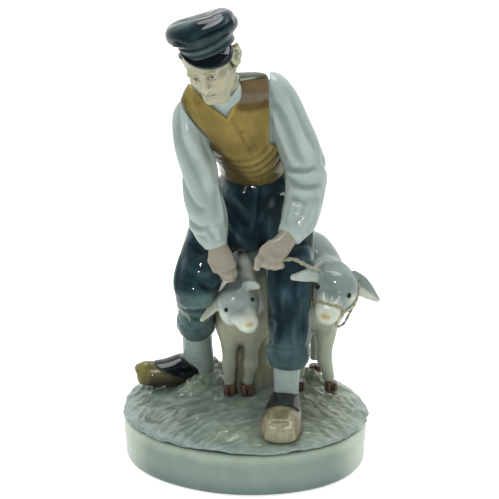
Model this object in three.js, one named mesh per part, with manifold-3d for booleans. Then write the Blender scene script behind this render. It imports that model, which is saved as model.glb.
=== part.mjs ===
// A glazed porcelain figurine: a farmer in a peaked cap straddles one calf and leads a second by its halter.
// It stands on an oval plinth with a turf top. Units are millimetres, +Z is up and the group looks along -Y.
// "right" and "left" are the farmer's own sides, so his right side is at -X.
//
// Every piece is one slip-cast section, and the sections are luted together with slip before firing.
// A limb, a body or a head is a loft of oval sections along a curve. A piece made later is fitted round the
// pieces made before it, with a slip joint between them.
import * as THREE from "three";
import { mergeVertices } from "three/addons/utils/BufferGeometryUtils.js";
import Module from "manifold-3d";

// ---------- driving dimensions ----------
const JOINT_GAP = 0.32; // slip joint left between neighbouring castings
const PLINTH_HEIGHT = 17.5;
const PLINTH_LONG = 51.5; // half length of the oval
const PLINTH_SHORT = 48; // half width of the oval
const OVAL_TURN = -45; // degrees from +X to the oval's long axis
const FOOT_RECESS = 2.4; // the underside is recessed inside its foot ring
const FOOT_RING_INNER = 0.87; // share of the plinth's radius
const VENT_RADIUS = 3; // lets the air out of the base in the kiln
const VENT_DEPTH = 9;
const TURF_EDGE = 20.4; // height of the turf's rim
const TURF_CROWN = 25; // height of the turf at its middle
const TURF_OVERHANG = 2.9;
const TURF_SLOPE = 0.03; // the turf rises towards the back

// ---------- geometry helpers ----------
const wasm = await Module();
wasm.setup();

const vec = (p) => new THREE.Vector3(...p);
const radians = THREE.MathUtils.degToRad;

/** A closed three.js geometry as a manifold solid. */
function solidOf(geometry) {
  const bare = geometry.clone();
  bare.deleteAttribute("normal");
  bare.deleteAttribute("uv");
  const merged = mergeVertices(bare, 1e-4);
  return new wasm.Manifold(
    new wasm.Mesh({
      numProp: 3,
      vertProperties: new Float32Array(merged.attributes.position.array),
      triVerts: new Uint32Array(merged.index.array),
    }),
  );
}

/** A manifold solid as a three.js geometry. */
function geometryOf(solid) {
  const mesh = solid.getMesh();
  const geometry = new THREE.BufferGeometry();
  geometry.setAttribute("position", new THREE.BufferAttribute(new Float32Array(mesh.vertProperties), 3));
  geometry.setIndex(new THREE.BufferAttribute(new Uint32Array(mesh.triVerts), 1));
  geometry.computeVertexNormals();
  return geometry;
}

/**
 * A loft of oval sections with domed ends. Each station is [x, y, z, halfWidth, halfDepth].
 * halfWidth lies along side, and halfDepth across it. grow thickens the loft all over.
 */
function loft(stations, { side = [1, 0, 0], sides = 12, steps = 2, dome = 0.6, grow = 0 } = {}) {
  const path = new THREE.CatmullRomCurve3(stations.map((s) => vec(s)), false, "centripetal");
  const spans = (stations.length - 1) * steps;
  const halfSizes = (share) => {
    const place = share * (stations.length - 1);
    const low = Math.min(Math.floor(place), stations.length - 2);
    const part = place - low;
    return [3, 4].map((i) => THREE.MathUtils.lerp(stations[low][i], stations[low + 1][i], part) + grow);
  };
  const sections = [];
  const addSection = (centre, tangent, width, depth) => {
    const across = vec(side).addScaledVector(tangent, -vec(side).dot(tangent)).normalize();
    const other = new THREE.Vector3().crossVectors(tangent, across);
    const ring = Array.from({ length: sides }, (_, i) => {
      const angle = (2 * Math.PI * i) / sides;
      return centre
        .clone()
        .addScaledVector(across, width * Math.cos(angle))
        .addScaledVector(other, depth * Math.sin(angle));
    });
    sections.push(ring);
  };
  const domeRing = 0.72; // share of the end section's size halfway up its dome
  const ends = [0, 1].map((share) => {
    const [width, depth] = halfSizes(share);
    return { width, depth, reach: dome * Math.min(width, depth) + grow * (1 - dome) };
  });
  const first = path.getPoint(0);
  const firstTangent = path.getTangent(0);
  const last = path.getPoint(1);
  const lastTangent = path.getTangent(1);
  addSection(
    first.clone().addScaledVector(firstTangent, -ends[0].reach * domeRing),
    firstTangent,
    ends[0].width * domeRing,
    ends[0].depth * domeRing,
  );
  for (let i = 0; i <= spans; i++) {
    addSection(path.getPoint(i / spans), path.getTangent(i / spans), ...halfSizes(i / spans));
  }
  addSection(
    last.clone().addScaledVector(lastTangent, ends[1].reach * domeRing),
    lastTangent,
    ends[1].width * domeRing,
    ends[1].depth * domeRing,
  );
  const points = sections.flat();
  const firstPole = points.push(first.clone().addScaledVector(firstTangent, -ends[0].reach)) - 1;
  const lastPole = points.push(last.clone().addScaledVector(lastTangent, ends[1].reach)) - 1;
  const faces = [];
  const lastRing = (sections.length - 1) * sides;
  for (let i = 0; i < sides; i++) {
    const next = (i + 1) % sides;
    faces.push(firstPole, next, i);
    faces.push(lastPole, lastRing + i, lastRing + next);
    for (let ring = 0; ring < lastRing; ring += sides) {
      faces.push(ring + i, ring + next, ring + sides + next);
      faces.push(ring + i, ring + sides + next, ring + sides + i);
    }
  }
  const geometry = new THREE.BufferGeometry().setFromPoints(points);
  geometry.setIndex(faces);
  return solidOf(geometry);
}

/** An ellipsoid, turned by degrees about X, then Y, then Z. */
function ellipsoid(centre, halfSizes, { turn = [0, 0, 0], grow = 0, detail = 14 } = {}) {
  const geometry = new THREE.SphereGeometry(1, detail, Math.round(detail * 0.6));
  geometry.scale(...halfSizes.map((size) => size + grow));
  geometry.rotateX(radians(turn[0]));
  geometry.rotateY(radians(turn[1]));
  geometry.rotateZ(radians(turn[2]));
  geometry.translate(...centre);
  return solidOf(geometry);
}

/** A solid turned from an outline of [share of the plinth's radius, height] and stretched to the plinth's oval. */
function ovalTurning(outline, { grow = 0, detail = 36, slopeAbove = Infinity } = {}) {
  const profile = outline.map(([share, height]) => new THREE.Vector2(share, height));
  const geometry = new THREE.LatheGeometry(profile, detail);
  geometry.rotateX(Math.PI / 2);
  geometry.scale(PLINTH_LONG + grow, PLINTH_SHORT + grow, 1);
  geometry.rotateZ(radians(OVAL_TURN));
  const place = geometry.attributes.position;
  for (let i = 0; i < place.count; i++) {
    const rise = place.getZ(i) > slopeAbove ? TURF_SLOPE * place.getY(i) : 0;
    place.setZ(i, place.getZ(i) + rise);
  }
  return solidOf(geometry);
}

const joined = (...solids) => solids.reduce((all, solid) => all.add(solid));
const largestBody = (solid) =>
  solid.decompose().reduce((best, body) => (body.volume() > best.volume() ? body : best));

// ---------- glazes ----------
const glaze = (colour) => new THREE.MeshStandardMaterial({ color: colour, roughness: 0.12, metalness: 0 });
const GLAZES = {
  plinth: glaze(0xb9c6bd),
  turf: glaze(0x7d9085),
  skin: glaze(0xc4bfa6),
  shirt: glaze(0xbccbc6),
  waistcoat: glaze(0x8a7444),
  navy: glaze(0x1f313c),
  black: glaze(0x131b1d),
  wood: glaze(0xa59468),
  calf: glaze(0xb4bbb2),
  hoof: glaze(0x6d4a3a),
  rope: glaze(0x86765a),
};

// ---------- the pieces, from the ground up ----------
const figurine = new THREE.Group();
const made = []; // each piece so far, thickened by the joint gap

/** Adds a piece. shape(grow) gives its solid. It is fitted round every piece that was added before it. */
function piece(name, material, shape) {
  let solid = shape(0);
  for (const neighbour of made) solid = solid.subtract(neighbour);
  const mesh = new THREE.Mesh(geometryOf(largestBody(solid)), material);
  mesh.name = name;
  figurine.add(mesh);
  made.push(shape(JOINT_GAP));
}

// Plinth: a straight oval wall on a foot ring, with a recessed underside and a kiln vent.
const plinthOutline = [
  [0, FOOT_RECESS],
  [FOOT_RING_INNER, FOOT_RECESS],
  [FOOT_RING_INNER + 0.02, 0],
  [0.965, 0],
  [0.985, 1.2],
  [1, PLINTH_HEIGHT - 1],
  [0.985, PLINTH_HEIGHT],
  [0, PLINTH_HEIGHT],
];
piece("plinth", GLAZES.plinth, (grow) => {
  const body = ovalTurning(plinthOutline.map(([share, height]) => [share, height + (height > 9 ? grow : 0)]), { grow });
  const vent = new THREE.CylinderGeometry(VENT_RADIUS, VENT_RADIUS, VENT_DEPTH * 2, 16);
  vent.rotateX(Math.PI / 2);
  return body.subtract(solidOf(vent));
});

// ---------- the farmer's feet ----------
const CLOG_RIGHT = [
  [-17, 16.5, 30, 5.2, 5.6],
  [-22, 15, 30.4, 6.2, 6.6],
  [-34, 12.5, 29.4, 6.8, 6],
  [-43.5, 11, 31, 4.2, 4.2],
];
const CLOG_LEFT = [
  [18.2, -10, 28.5, 5.6, 5.6],
  [17, -20, 28.5, 6.6, 6.8],
  [15.4, -33, 26.3, 8.4, 6.4],
  [14.8, -42, 26, 6.2, 5],
];
piece("clog_right", GLAZES.wood, (grow) => loft(CLOG_RIGHT, { side: [0, 1, 0], grow }));
piece("clog_left", GLAZES.wood, (grow) => loft(CLOG_LEFT, { grow }));

// The leather instep is a band over the clog, with the stocking rising out of it.
piece("instep_right", GLAZES.black, (grow) =>
  loft(
    [
      [-31.5, 12.8, 31, 7.2, 6.6],
      [-21, 14.2, 33.5, 7, 8],
    ],
    { side: [0, 1, 0], dome: 0.2, steps: 2, grow },
  ),
);
piece("instep_left", GLAZES.black, (grow) =>
  loft(
    [
      [16.2, -28.5, 30, 6.8, 5.6],
      [17.4, -18, 32.5, 6.4, 8],
    ],
    { dome: 0.2, steps: 2, grow },
  ),
);
piece("stocking_right", GLAZES.shirt, (grow) =>
  loft(
    [
      [-19.5, 14.5, 34, 6.8, 6.6],
      [-19.5, 13, 42, 6.2, 6],
      [-19.5, 11, 52, 6.4, 6.2],
    ],
    { grow },
  ),
);
piece("stocking_left", GLAZES.shirt, (grow) =>
  loft(
    [
      [17.6, -14.5, 32, 5.6, 6],
      [17.8, -17, 41, 5.2, 5.4],
      [18, -17.5, 52, 5.6, 5.8],
    ],
    { grow },
  ),
);

// ---------- the straddled calf, facing forward between the farmer's legs ----------
piece("straddled_calf_head", GLAZES.calf, (grow) =>
  loft(
    [
      [-4.6, -6.5, 74.5, 8, 6.4],
      [-2, -11.5, 70, 8.8, 7],
      [1.8, -17, 64.8, 5.6, 5.4],
      [3.6, -19.5, 62.6, 4.6, 4.4],
    ],
    { side: [1, -0.1, 0.6], grow },
  ),
);
piece("straddled_calf_ear_right", GLAZES.calf, (grow) =>
  loft(
    [
      [-10, -8, 73, 3, 1.6],
      [-13.5, -10.5, 69, 3, 1.3],
      [-17, -13, 64.5, 1.4, 1],
    ],
    { side: [0.5, -0.6, -0.4], sides: 8, grow },
  ),
);
piece("straddled_calf_ear_left", GLAZES.calf, (grow) =>
  loft(
    [
      [1, -9, 79.5, 3, 1.6],
      [4.5, -13, 80.5, 2.8, 1.4],
      [7, -16.5, 80.5, 1.4, 1],
    ],
    { side: [0.2, 0.3, -1], sides: 8, grow },
  ),
);
piece("straddled_calf_body", GLAZES.calf, (grow) =>
  joined(
    loft(
      [
        [0, 3, 54, 12, 10.5],
        [0, 12, 62, 12.4, 15.6],
        [1, 26, 64.5, 12.4, 17.6],
        [2, 37, 63, 10.8, 14.6],
      ],
      { grow },
    ),
    loft(
      [
        [-1, 7, 58, 8.6, 9],
        [-3, -2, 71, 7, 7.4],
      ],
      { grow },
    ),
  ),
);
const calfLeg = (top, hoof, grow) =>
  loft(
    [
      [...top, 4.2, 5.2],
      [(top[0] + hoof[0]) / 2, (top[1] + hoof[1]) / 2, (top[2] + hoof[2]) / 2, 2.7, 2.8],
      [...hoof, 2.4, 2.5],
    ],
    { sides: 8, steps: 1, dome: 0.2, grow },
  );
const hoofShape = (at, grow) =>
  loft(
    [
      [at[0], at[1], at[2] - 3.4, 3.2, 3.8],
      [at[0], at[1] + 0.5, at[2] - 0.6, 2.6, 2.8],
    ],
    { sides: 8, dome: 0.15, steps: 1, grow },
  );
const STRADDLED_LEGS = {
  fore_right: [[-5.8, 3.5, 50], [-5.6, 3.4, 28.6]],
  fore_left: [[3.4, 3.5, 50], [2.9, 3.4, 28.6]],
  hind_right: [[-4.5, 37, 59], [-5.4, 39.5, 27.6]],
  hind_left: [[8, 36.5, 59], [7.6, 39.5, 27.6]],
};
const LED_LEGS = {
  fore_right: [[26, 13, 55], [23.4, 13.5, 28]],
  fore_left: [[36, 11.5, 55], [38.6, 14, 26.8]],
  hind_right: [[21, 36, 61], [21, 38.5, 27]],
  hind_left: [[31.5, 35, 61], [31, 37, 26.6]],
};
const addLegs = (calf, legs) => {
  for (const [place, [top, hoof]] of Object.entries(legs)) {
    piece(`${calf}_leg_${place}`, GLAZES.calf, (grow) => calfLeg(top, hoof, grow));
    piece(`${calf}_hoof_${place}`, GLAZES.hoof, (grow) => hoofShape(hoof, grow));
  }
};
addLegs("straddled_calf", STRADDLED_LEGS);
piece("straddled_calf_tail", GLAZES.calf, (grow) =>
  loft(
    [
      [2.2, 42.5, 71, 2.4, 2.4],
      [2.8, 47, 60, 1.8, 1.8],
      [3, 46.5, 45, 2.6, 2.4],
    ],
    { sides: 8, grow },
  ),
);

// ---------- the led calf, beside the farmer's left leg ----------
const NOSE = { at: [35.6, -17, 72.4], half: [7.9, 7.3], turn: -52 };
piece("halter_noseband", GLAZES.rope, (grow) => {
  const ring = new THREE.TorusGeometry(1, 0.13 + grow / 8, 6, 18);
  ring.scale(NOSE.half[0], NOSE.half[1], 8);
  ring.rotateX(radians(NOSE.turn));
  ring.rotateY(radians(14));
  ring.translate(...NOSE.at);
  return solidOf(ring);
});
piece("led_calf_head", GLAZES.calf, (grow) =>
  loft(
    [
      [38.6, -6, 82, 9, 6.6],
      [37, -12, 77, 9.6, 7.6],
      [34.6, -20, 69.5, 6.4, 6],
      [33.6, -23.5, 65.5, 5.2, 5],
    ],
    { side: [1, 0, -0.3], grow },
  ),
);
piece("led_calf_ear_right", GLAZES.calf, (grow) =>
  loft(
    [
      [30.5, -12, 83.5, 3.6, 1.8],
      [26, -22, 86, 3.4, 1.4],
      [21, -30, 87, 1.8, 1.1],
    ],
    { side: [0, 0.3, 1], sides: 8, grow },
  ),
);
piece("led_calf_ear_left", GLAZES.calf, (grow) =>
  loft(
    [
      [45.5, -6, 79, 6, 1.8],
      [51, -4.5, 74.5, 4.8, 1.5],
      [56, -3, 69.5, 1.8, 1.1],
    ],
    { side: [-0.4, -0.4, 1], sides: 8, grow },
  ),
);
piece("led_calf_body", GLAZES.calf, (grow) =>
  joined(
    loft(
      [
        [32.5, 9.5, 60, 9.6, 10.6],
        [31, 17, 67, 12.8, 16],
        [28.5, 28, 69.5, 13.6, 17.4],
        [26.5, 36, 68, 11.6, 14.5],
      ],
      { side: [1, 0.5, 0], grow },
    ),
    loft(
      [
        [34, 11, 63, 8.4, 9],
        [38, -2, 76, 7.6, 8.2],
      ],
      { grow },
    ),
  ),
);
addLegs("led_calf", LED_LEGS);
piece("led_calf_tail", GLAZES.calf, (grow) =>
  loft(
    [
      [25.4, 42, 76.5, 2.4, 2.4],
      [23.6, 46.2, 65, 1.8, 1.8],
      [23, 45, 50, 2.6, 2.4],
    ],
    { sides: 8, grow },
  ),
);

// ---------- the farmer's hands ----------
piece("hand_right", GLAZES.skin, (grow) =>
  loft(
    [
      [-11, -19, 101, 4, 4],
      [-9.5, -19.5, 94, 5.6, 3.8],
      [-8, -17.5, 86.5, 6, 4],
      [-6.5, -15.5, 81.5, 4.4, 3.2],
    ],
    { sides: 10, grow },
  ),
);
piece("hand_left", GLAZES.skin, (grow) =>
  loft(
    [
      [16.8, -25.5, 101.5, 4.4, 4],
      [13.8, -28, 97.5, 6, 4.4],
      [10.6, -29.5, 94, 5.8, 4.2],
      [7, -30, 91, 3.4, 2.8],
    ],
    { side: [1, 0, -0.5], sides: 10, grow },
  ),
);

// ---------- the farmer's trousers ----------
piece("turn_up_right", GLAZES.navy, (grow) =>
  loft(
    [
      [-20.4, 10, 50.4, 7.4, 7.6],
      [-20.8, 8, 54.4, 7.8, 7.8],
    ],
    { dome: 0.25, steps: 1, sides: 12, grow },
  ),
);
piece("turn_up_left", GLAZES.navy, (grow) =>
  loft(
    [
      [18.2, -17.6, 48, 8, 8.2],
      [18.4, -17.8, 53, 8.6, 8.8],
    ],
    { dome: 0.25, steps: 1, sides: 12, grow },
  ),
);
piece("trouser_leg_right", GLAZES.navy, (grow) =>
  loft(
    [
      [-20.6, 6.6, 57, 7.6, 7.6],
      [-21, 0, 67, 8.4, 8.6],
      [-20.2, -5, 78, 9.4, 9.6],
      [-14.5, 6, 92, 11.5, 11.5],
      [-8, 18, 103, 12.5, 12],
    ],
    { dome: 0.3, grow },
  ),
);
piece("trouser_leg_left", GLAZES.navy, (grow) =>
  loft(
    [
      [18.4, -17.6, 56.5, 8.4, 8.6],
      [18.6, -17, 72, 9, 9],
      [18.4, -14, 86, 9.6, 10],
      [16.5, 2, 95, 11.5, 11.5],
      [13.5, 17, 103, 12.5, 12],
    ],
    { dome: 0.3, grow },
  ),
);
piece("trouser_seat", GLAZES.navy, (grow) =>
  loft(
    [
      [3, 15, 88, 11.5, 15],
      [3.5, 20, 103, 19, 17.5],
      [4.2, 14, 119, 14.8, 12.8],
    ],
    { sides: 14, dome: 0.32, grow },
  ),
);

// ---------- the farmer's head and cap ----------
piece("cap_visor", GLAZES.black, (grow) =>
  loft(
    [
      [-15, -34, 180.2, 9.8, 2.2],
      [-16.6, -40.6, 177, 8.4, 1.2],
    ],
    { side: [1, -0.25, 0.35], dome: 0.8, steps: 1, grow },
  ),
);
piece("cap_band", GLAZES.navy, (grow) =>
  loft(
    [
      [-13.8, -26.5, 179, 10.8, 12.2],
      [-14.8, -27.5, 183, 11.4, 12.6],
    ],
    { side: [1, -0.2, 0.3], dome: 0.3, steps: 1, sides: 14, grow },
  ),
);
piece("cap_crown", GLAZES.navy, (grow) =>
  ellipsoid([-16, -27, 187], [15, 15.4, 7.6], { turn: [14, -20, 0], grow, detail: 16 }),
);
piece("head", GLAZES.skin, (grow) =>
  joined(
    ellipsoid([-12, -24.5, 171], [9.8, 11.4, 13], { turn: [18, -12, 0], grow, detail: 14 }),
    loft(
      [
        [-9.5, -22, 166, 7.4, 7.6],
        [-5.5, -14, 157, 7, 7.4],
      ],
      { grow },
    ),
    ellipsoid([-13.4, -35.6, 168.6], [1.8, 2.2, 3.6], { turn: [28, -12, 0], grow, detail: 8 }),
    ellipsoid([-2.4, -20.5, 173.5], [1.6, 2.8, 4], { turn: [16, -14, -20], grow, detail: 8 }),
  ),
);

// ---------- the farmer's shirt and waistcoat ----------
piece("shirt_collar", GLAZES.shirt, (grow) =>
  loft(
    [
      [-5.2, -15, 158, 8.6, 8],
      [-7.5, -19, 163, 8.8, 8.6],
    ],
    { dome: 0.2, steps: 1, sides: 14, grow },
  ),
);
piece("waistcoat", GLAZES.waistcoat, (grow) =>
  loft(
    [
      [4.4, 12.5, 122.5, 14.8, 13],
      [3, 6.5, 130, 13.8, 13],
      [-1.5, -2, 142, 16.6, 13.8],
      [-5.6, -8.5, 153, 20.4, 12.4],
      [-6, -11, 162, 18, 8.2],
    ],
    { side: [1, 0.12, 0.3], sides: 16, dome: 0.22, grow },
  ),
);
piece("sleeve_right", GLAZES.shirt, (grow) =>
  loft(
    [
      [-18.6, -13.5, 152, 7.4, 8.6],
      [-22, -16.5, 145, 7.6, 9],
      [-20.8, -17.5, 133, 8, 9],
      [-17.4, -17.5, 120, 8.6, 9],
      [-14, -18.5, 109, 8, 8],
      [-11.4, -19, 102, 5.4, 5.2],
    ],
    { grow },
  ),
);
piece("sleeve_left", GLAZES.shirt, (grow) =>
  loft(
    [
      [9, -7, 158.5, 7.8, 8.6],
      [13.4, -6.5, 151, 9, 9.4],
      [18.8, -6.5, 137, 9.8, 9.8],
      [24.4, -6, 124.5, 10, 10],
      [23.6, -14, 112.5, 9.2, 8.8],
      [17.8, -23.5, 103, 5.8, 5.4],
    ],
    { grow },
  ),
);

// ---------- halter and lead rope, modelled in the clay ----------
const rope = (stations, radius, grow) =>
  loft(stations.map((p) => [...p, radius, radius]), { sides: 6, steps: 2, grow });
piece("lead_rope", GLAZES.rope, (grow) =>
  rope(
    [
      [19.5, -31, 96.5],
      [23.5, -29, 94.5],
      [28, -23.5, 92],
      [33, -15.5, 90.5],
    ],
    1.1,
    grow,
  ),
);

piece("halter_cheek_rope", GLAZES.rope, (grow) =>
  rope(
    [
      [43.4, -17, 71.5],
      [47, -10.5, 73.5],
      [47.6, -3, 78.5],
    ],
    1,
    grow,
  ),
);
piece("halter_chin_rope", GLAZES.rope, (grow) =>
  rope(
    [
      [42, -16.5, 68],
      [40.5, -15, 63],
      [43, -11, 61.5],
      [46.5, -7, 66.5],
    ],
    0.9,
    grow,
  ),
);

// Turf: an uneven slab that overhangs the plinth and is fitted round every foot that stands on it.
piece("turf", GLAZES.turf, (grow) =>
  ovalTurning(
    [
      [0, PLINTH_HEIGHT + JOINT_GAP - grow],
      [1, PLINTH_HEIGHT + JOINT_GAP - grow],
      [1 + TURF_OVERHANG / PLINTH_LONG, TURF_EDGE - 1.2],
      [1 + TURF_OVERHANG / PLINTH_LONG - 0.02, TURF_EDGE + 0.4],
      [0.93, TURF_CROWN - 3],
      [0.55, TURF_CROWN - 1],
      [0, TURF_CROWN],
    ],
    { grow, slopeAbove: PLINTH_HEIGHT + 1 },
  ),
);

// The origin is the middle of the footprint, on the resting plane.
const bounds = new THREE.Box3().setFromObject(figurine);
const middle = bounds.getCenter(new THREE.Vector3());
figurine.position.set(-middle.x, -middle.y, -bounds.min.z);

export default figurine;
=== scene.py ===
"""A glazed porcelain figurine: a farmer in a peaked cap straddles one calf and leads a second by its halter.

The pieces are sculpted as distance fields in numpy, meshed and painted with glaze colours on their vertices,
and light and shade are painted into those colours too.
Shapes are written in millimetres from the middle of the plinth's underside, with +Z up. The group faces -Y.
"Right" and "left" are the farmer's own and each calf's own, so right is at -X.
"""
import math
from concurrent.futures import ThreadPoolExecutor

import bpy
import numpy as np
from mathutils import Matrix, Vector


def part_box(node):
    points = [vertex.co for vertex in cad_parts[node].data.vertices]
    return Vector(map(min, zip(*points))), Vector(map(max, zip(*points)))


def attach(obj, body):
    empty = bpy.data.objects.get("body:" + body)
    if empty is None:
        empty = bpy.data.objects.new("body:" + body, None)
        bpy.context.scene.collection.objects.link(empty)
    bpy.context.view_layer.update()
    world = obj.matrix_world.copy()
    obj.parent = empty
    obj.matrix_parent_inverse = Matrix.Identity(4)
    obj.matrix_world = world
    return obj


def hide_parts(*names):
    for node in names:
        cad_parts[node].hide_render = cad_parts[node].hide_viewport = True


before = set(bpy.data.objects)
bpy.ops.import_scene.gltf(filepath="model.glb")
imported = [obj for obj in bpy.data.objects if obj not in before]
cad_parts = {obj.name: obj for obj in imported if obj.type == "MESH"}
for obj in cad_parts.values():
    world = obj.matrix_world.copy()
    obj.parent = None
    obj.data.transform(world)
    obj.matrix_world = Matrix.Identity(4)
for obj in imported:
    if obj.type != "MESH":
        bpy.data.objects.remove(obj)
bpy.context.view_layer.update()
low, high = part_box("plinth")
BASE = np.array([(low.x + high.x) / 2, (low.y + high.y) / 2, low.z])  # metres
MM = 0.001
COARSER = 1.0

# ---------------------------------------------------------------- distance fields


def unit(v):
    v = np.asarray(v, float)
    return v / np.linalg.norm(v)


def smooth_min(a, b, k):
    h = np.clip(0.5 + 0.5 * (b - a) / k, 0, 1)
    return b + (a - b) * h - k * h * (1 - h)


def smooth_max(a, b, k):
    return -smooth_min(-a, -b, k)


def step(edge0, edge1, x):
    t = np.clip((x - edge0) / (edge1 - edge0), 0, 1)
    return t * t * (3 - 2 * t)


def within(P, corners, margin, shape):
    """shape(P) where P is near the box, and the distance to the box elsewhere."""
    low, high = corners
    gap = np.maximum(np.maximum(low - P, P - high), 0)
    out = np.sqrt((gap * gap).sum(1))
    near = out < margin
    if near.any():
        out[near] = shape(P[near])
    return out


class Frame:
    """A local frame. Its three axes are the rows of R, and its origin is O."""

    def __init__(self, origin, x, y, z):
        self.O = np.asarray(origin, float)
        self.R = np.array([unit(x), unit(y), unit(z)])

    def local(self, P):
        return (P - self.O) @ self.R.T

    def world(self, p):
        return np.asarray(p, float) @ self.R + self.O


def smooth_curve(rows, count):
    """count rows along a smooth curve through the given rows."""
    n = len(rows)
    t = np.linspace(0, n - 1, count)
    ends = np.vstack([2 * rows[0] - rows[1], rows, 2 * rows[-1] - rows[-2]])
    i = np.minimum(t.astype(int), n - 2)
    u = (t - i)[:, None]
    a, b, c, d = ends[i], ends[i + 1], ends[i + 2], ends[i + 3]
    return 0.5 * (2 * b + (c - a) * u + (2 * a - 5 * b + 4 * c - d) * u**2 + (3 * b - a - 3 * c + d) * u**3)


class Tube:
    """An oval tube along a smooth curve.

    Each station is x, y, z, half width (along side) and half depth (along front).
    """

    def __init__(self, stations, side=(1, 0, 0), front=(0, -1, 0), cap=0.6, steps=7):
        curve = smooth_curve(np.array(stations, float), (len(stations) - 1) * steps + 1)
        C = curve[:, :3]
        T = np.gradient(C, axis=0)
        self.step = np.linalg.norm(T, axis=1)
        T = T / self.step[:, None]
        A = np.asarray(side, float) - (T @ np.asarray(side, float))[:, None] * T
        A /= np.linalg.norm(A, axis=1)[:, None]
        B = np.cross(T, A)
        if (B @ np.asarray(front, float)).sum() < 0:
            B = -B
        self.rows = np.hstack([C, T, A, B, curve[:, 3:]])
        self.C, self.T, self.cap = C, T, cap
        reach = curve[:, 3:].max()
        self.box = (C.min(0) - reach, C.max(0) + reach)

    def at(self, P):
        """Distance, place along the tube (0 to 1) and angle (0 is side, 90 degrees is front)."""
        C, last = self.C, len(self.C) - 1
        i = (-2 * P @ C.T + (C * C).sum(1)).argmin(1)
        nearest = i
        k = i.astype(float)
        for _ in range(4):
            i = np.minimum(k.astype(int), last - 1)
            u = (k - i)[:, None]
            c = C[i] * (1 - u) + C[i + 1] * u
            t = self.T[i] * (1 - u) + self.T[i + 1] * u
            k = np.clip(k + 0.8 * ((P - c) * t).sum(1) / self.step[i], nearest - 0.7, nearest + 0.7)
            k = np.clip(k, 0, last)
        i = np.minimum(k.astype(int), last - 1)
        u = (k - i)[:, None]
        row = self.rows[i] * (1 - u) + self.rows[i + 1] * u
        r = P - row[:, :3]
        w, a, b = ((r * row[:, j : j + 3]).sum(1) for j in (3, 6, 9))
        W, D = row[:, 12], row[:, 13]
        w = np.where((k <= 0) | (k >= last), w, 0)
        q = np.sqrt((a / W) ** 2 + (b / D) ** 2 + (w / (self.cap * np.minimum(W, D))) ** 2) + 1e-6
        R = np.sqrt(a * a + b * b + w * w) + 1e-4
        return np.where(q < 0.15, -np.minimum(W, D) * 0.85, R - R / q), k / last, np.arctan2(b / D, a / W)

    def __call__(self, P):
        return within(P, self.box, 5, lambda p: self.at(p)[0])

    def point(self, s, angle, lift=0.0):
        """A point on the tube's surface. angle is in degrees."""
        k = s * (len(self.C) - 1)
        i = min(int(k), len(self.C) - 2)
        row = self.rows[i] * (1 - k + i) + self.rows[i + 1] * (k - i)
        a = math.radians(angle)
        return row[:3] + row[6:9] * (
            row[12] + lift
        ) * math.cos(a) + row[9:12] * (row[13] + lift) * math.sin(a)


def ellipsoid(centre, radii, axes=None):
    """A field for an ellipsoid. axes is a Frame whose axes it follows; centre is in that frame."""
    centre = np.asarray(centre, float)
    radii = np.asarray(radii, float)
    middle = axes.world(centre) if axes else centre
    reach = radii.max()

    def shape(P):
        p = (axes.local(P) if axes else P) - centre
        R = np.sqrt((p * p).sum(1)) + 1e-4
        q = np.sqrt(((p / radii) ** 2).sum(1)) + 1e-6
        return np.where(q < 0.1, -radii.min() * 0.9, R - R / q)

    return lambda P: within(P, (middle - reach, middle + reach), 5, shape)


def rod(a, b, ra, rb=None, axes=None):
    """A straight round rod that tapers from ra to rb."""
    a = axes.world(a) if axes else np.asarray(a, float)
    b = axes.world(b) if axes else np.asarray(b, float)
    rb = ra if rb is None else rb
    ab = b - a
    reach = max(ra, rb)
    corners = (np.minimum(a, b) - reach, np.maximum(a, b) + reach)

    def shape(P):
        r = P - a
        h = np.clip(r @ ab / max(ab @ ab, 1e-9), 0, 1)
        r -= h[:, None] * ab
        return np.sqrt((r * r).sum(1)) - ra - (rb - ra) * h

    return lambda P: within(P, corners, 5, shape)


def union(*parts, k=1.5):
    """Parts melted together over a width of about k mm. A part may be (field, k)."""

    def field(P):
        out = None
        for part in parts:
            part, width = part if isinstance(part, tuple) else (part, k)
            d = part(P)
            out = d if out is None else smooth_min(out, d, width)
        return out

    return field


class Folds:
    """Ridges (height over 0) and creases (height under 0) along curves: [(points, width, height), ...]."""

    def __init__(self, folds):
        self.folds = []
        for points, width, height in folds:
            p = np.array([np.asarray(q, float) for q in points])
            C = smooth_curve(p, max(9, 5 * len(p)))
            T = np.gradient(C, axis=0)
            size = np.linalg.norm(T, axis=1)
            self.folds.append((C, T / size[:, None], size, width, height))

    def __call__(self, P):
        out = np.zeros(len(P))
        for C, T, size, width, height in self.folds:
            near = ((P > C.min(0) - 2.6 * width) & (P < C.max(0) + 2.6 * width)).all(1)
            if not near.any():
                continue
            p = P[near]
            i = (-2 * p @ C.T + (C * C).sum(1)).argmin(1)
            r = p - C[i]
            along = (r * T[i]).sum(1)
            r -= np.clip(along, -size[i], size[i])[:, None] * T[i]
            s = np.clip((i + along / size[i]) / (len(C) - 1), 0, 1)
            taper = np.clip(np.sin(np.pi * s), 0, 1) ** 0.6
            out[near] += height * taper * np.exp(-(r * r).sum(1) / width**2)
        return out


def ripple(seed, wavelength, count=7):
    """A smooth uneven pattern between about -1 and 1, of that wavelength in mm."""
    draw = np.random.default_rng(seed)
    waves = draw.normal(size=(count, 3))
    waves *= (
        2 * np.pi / wavelength * draw.uniform(0.6, 1.5, count) / np.linalg.norm(waves, axis=1)
    )[:, None]
    phase = draw.uniform(0, 2 * np.pi, count)
    return lambda P: np.sin(P @ waves.T + phase).sum(1) / math.sqrt(count) / 1.2


hand_made = ripple(11, 16)
cloth = ripple(43, 8.5, 9)  # soft dents pressed into the clay

# ---------------------------------------------------------------- meshing

CORNERS = np.array([[i, j, k] for i in (0, 1) for j in (0, 1) for k in (0, 1)])
EDGES = [(a, b) for a in range(8) for b in range(a + 1, 8) if abs(CORNERS[a] - CORNERS[b]).sum() == 1]


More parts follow.
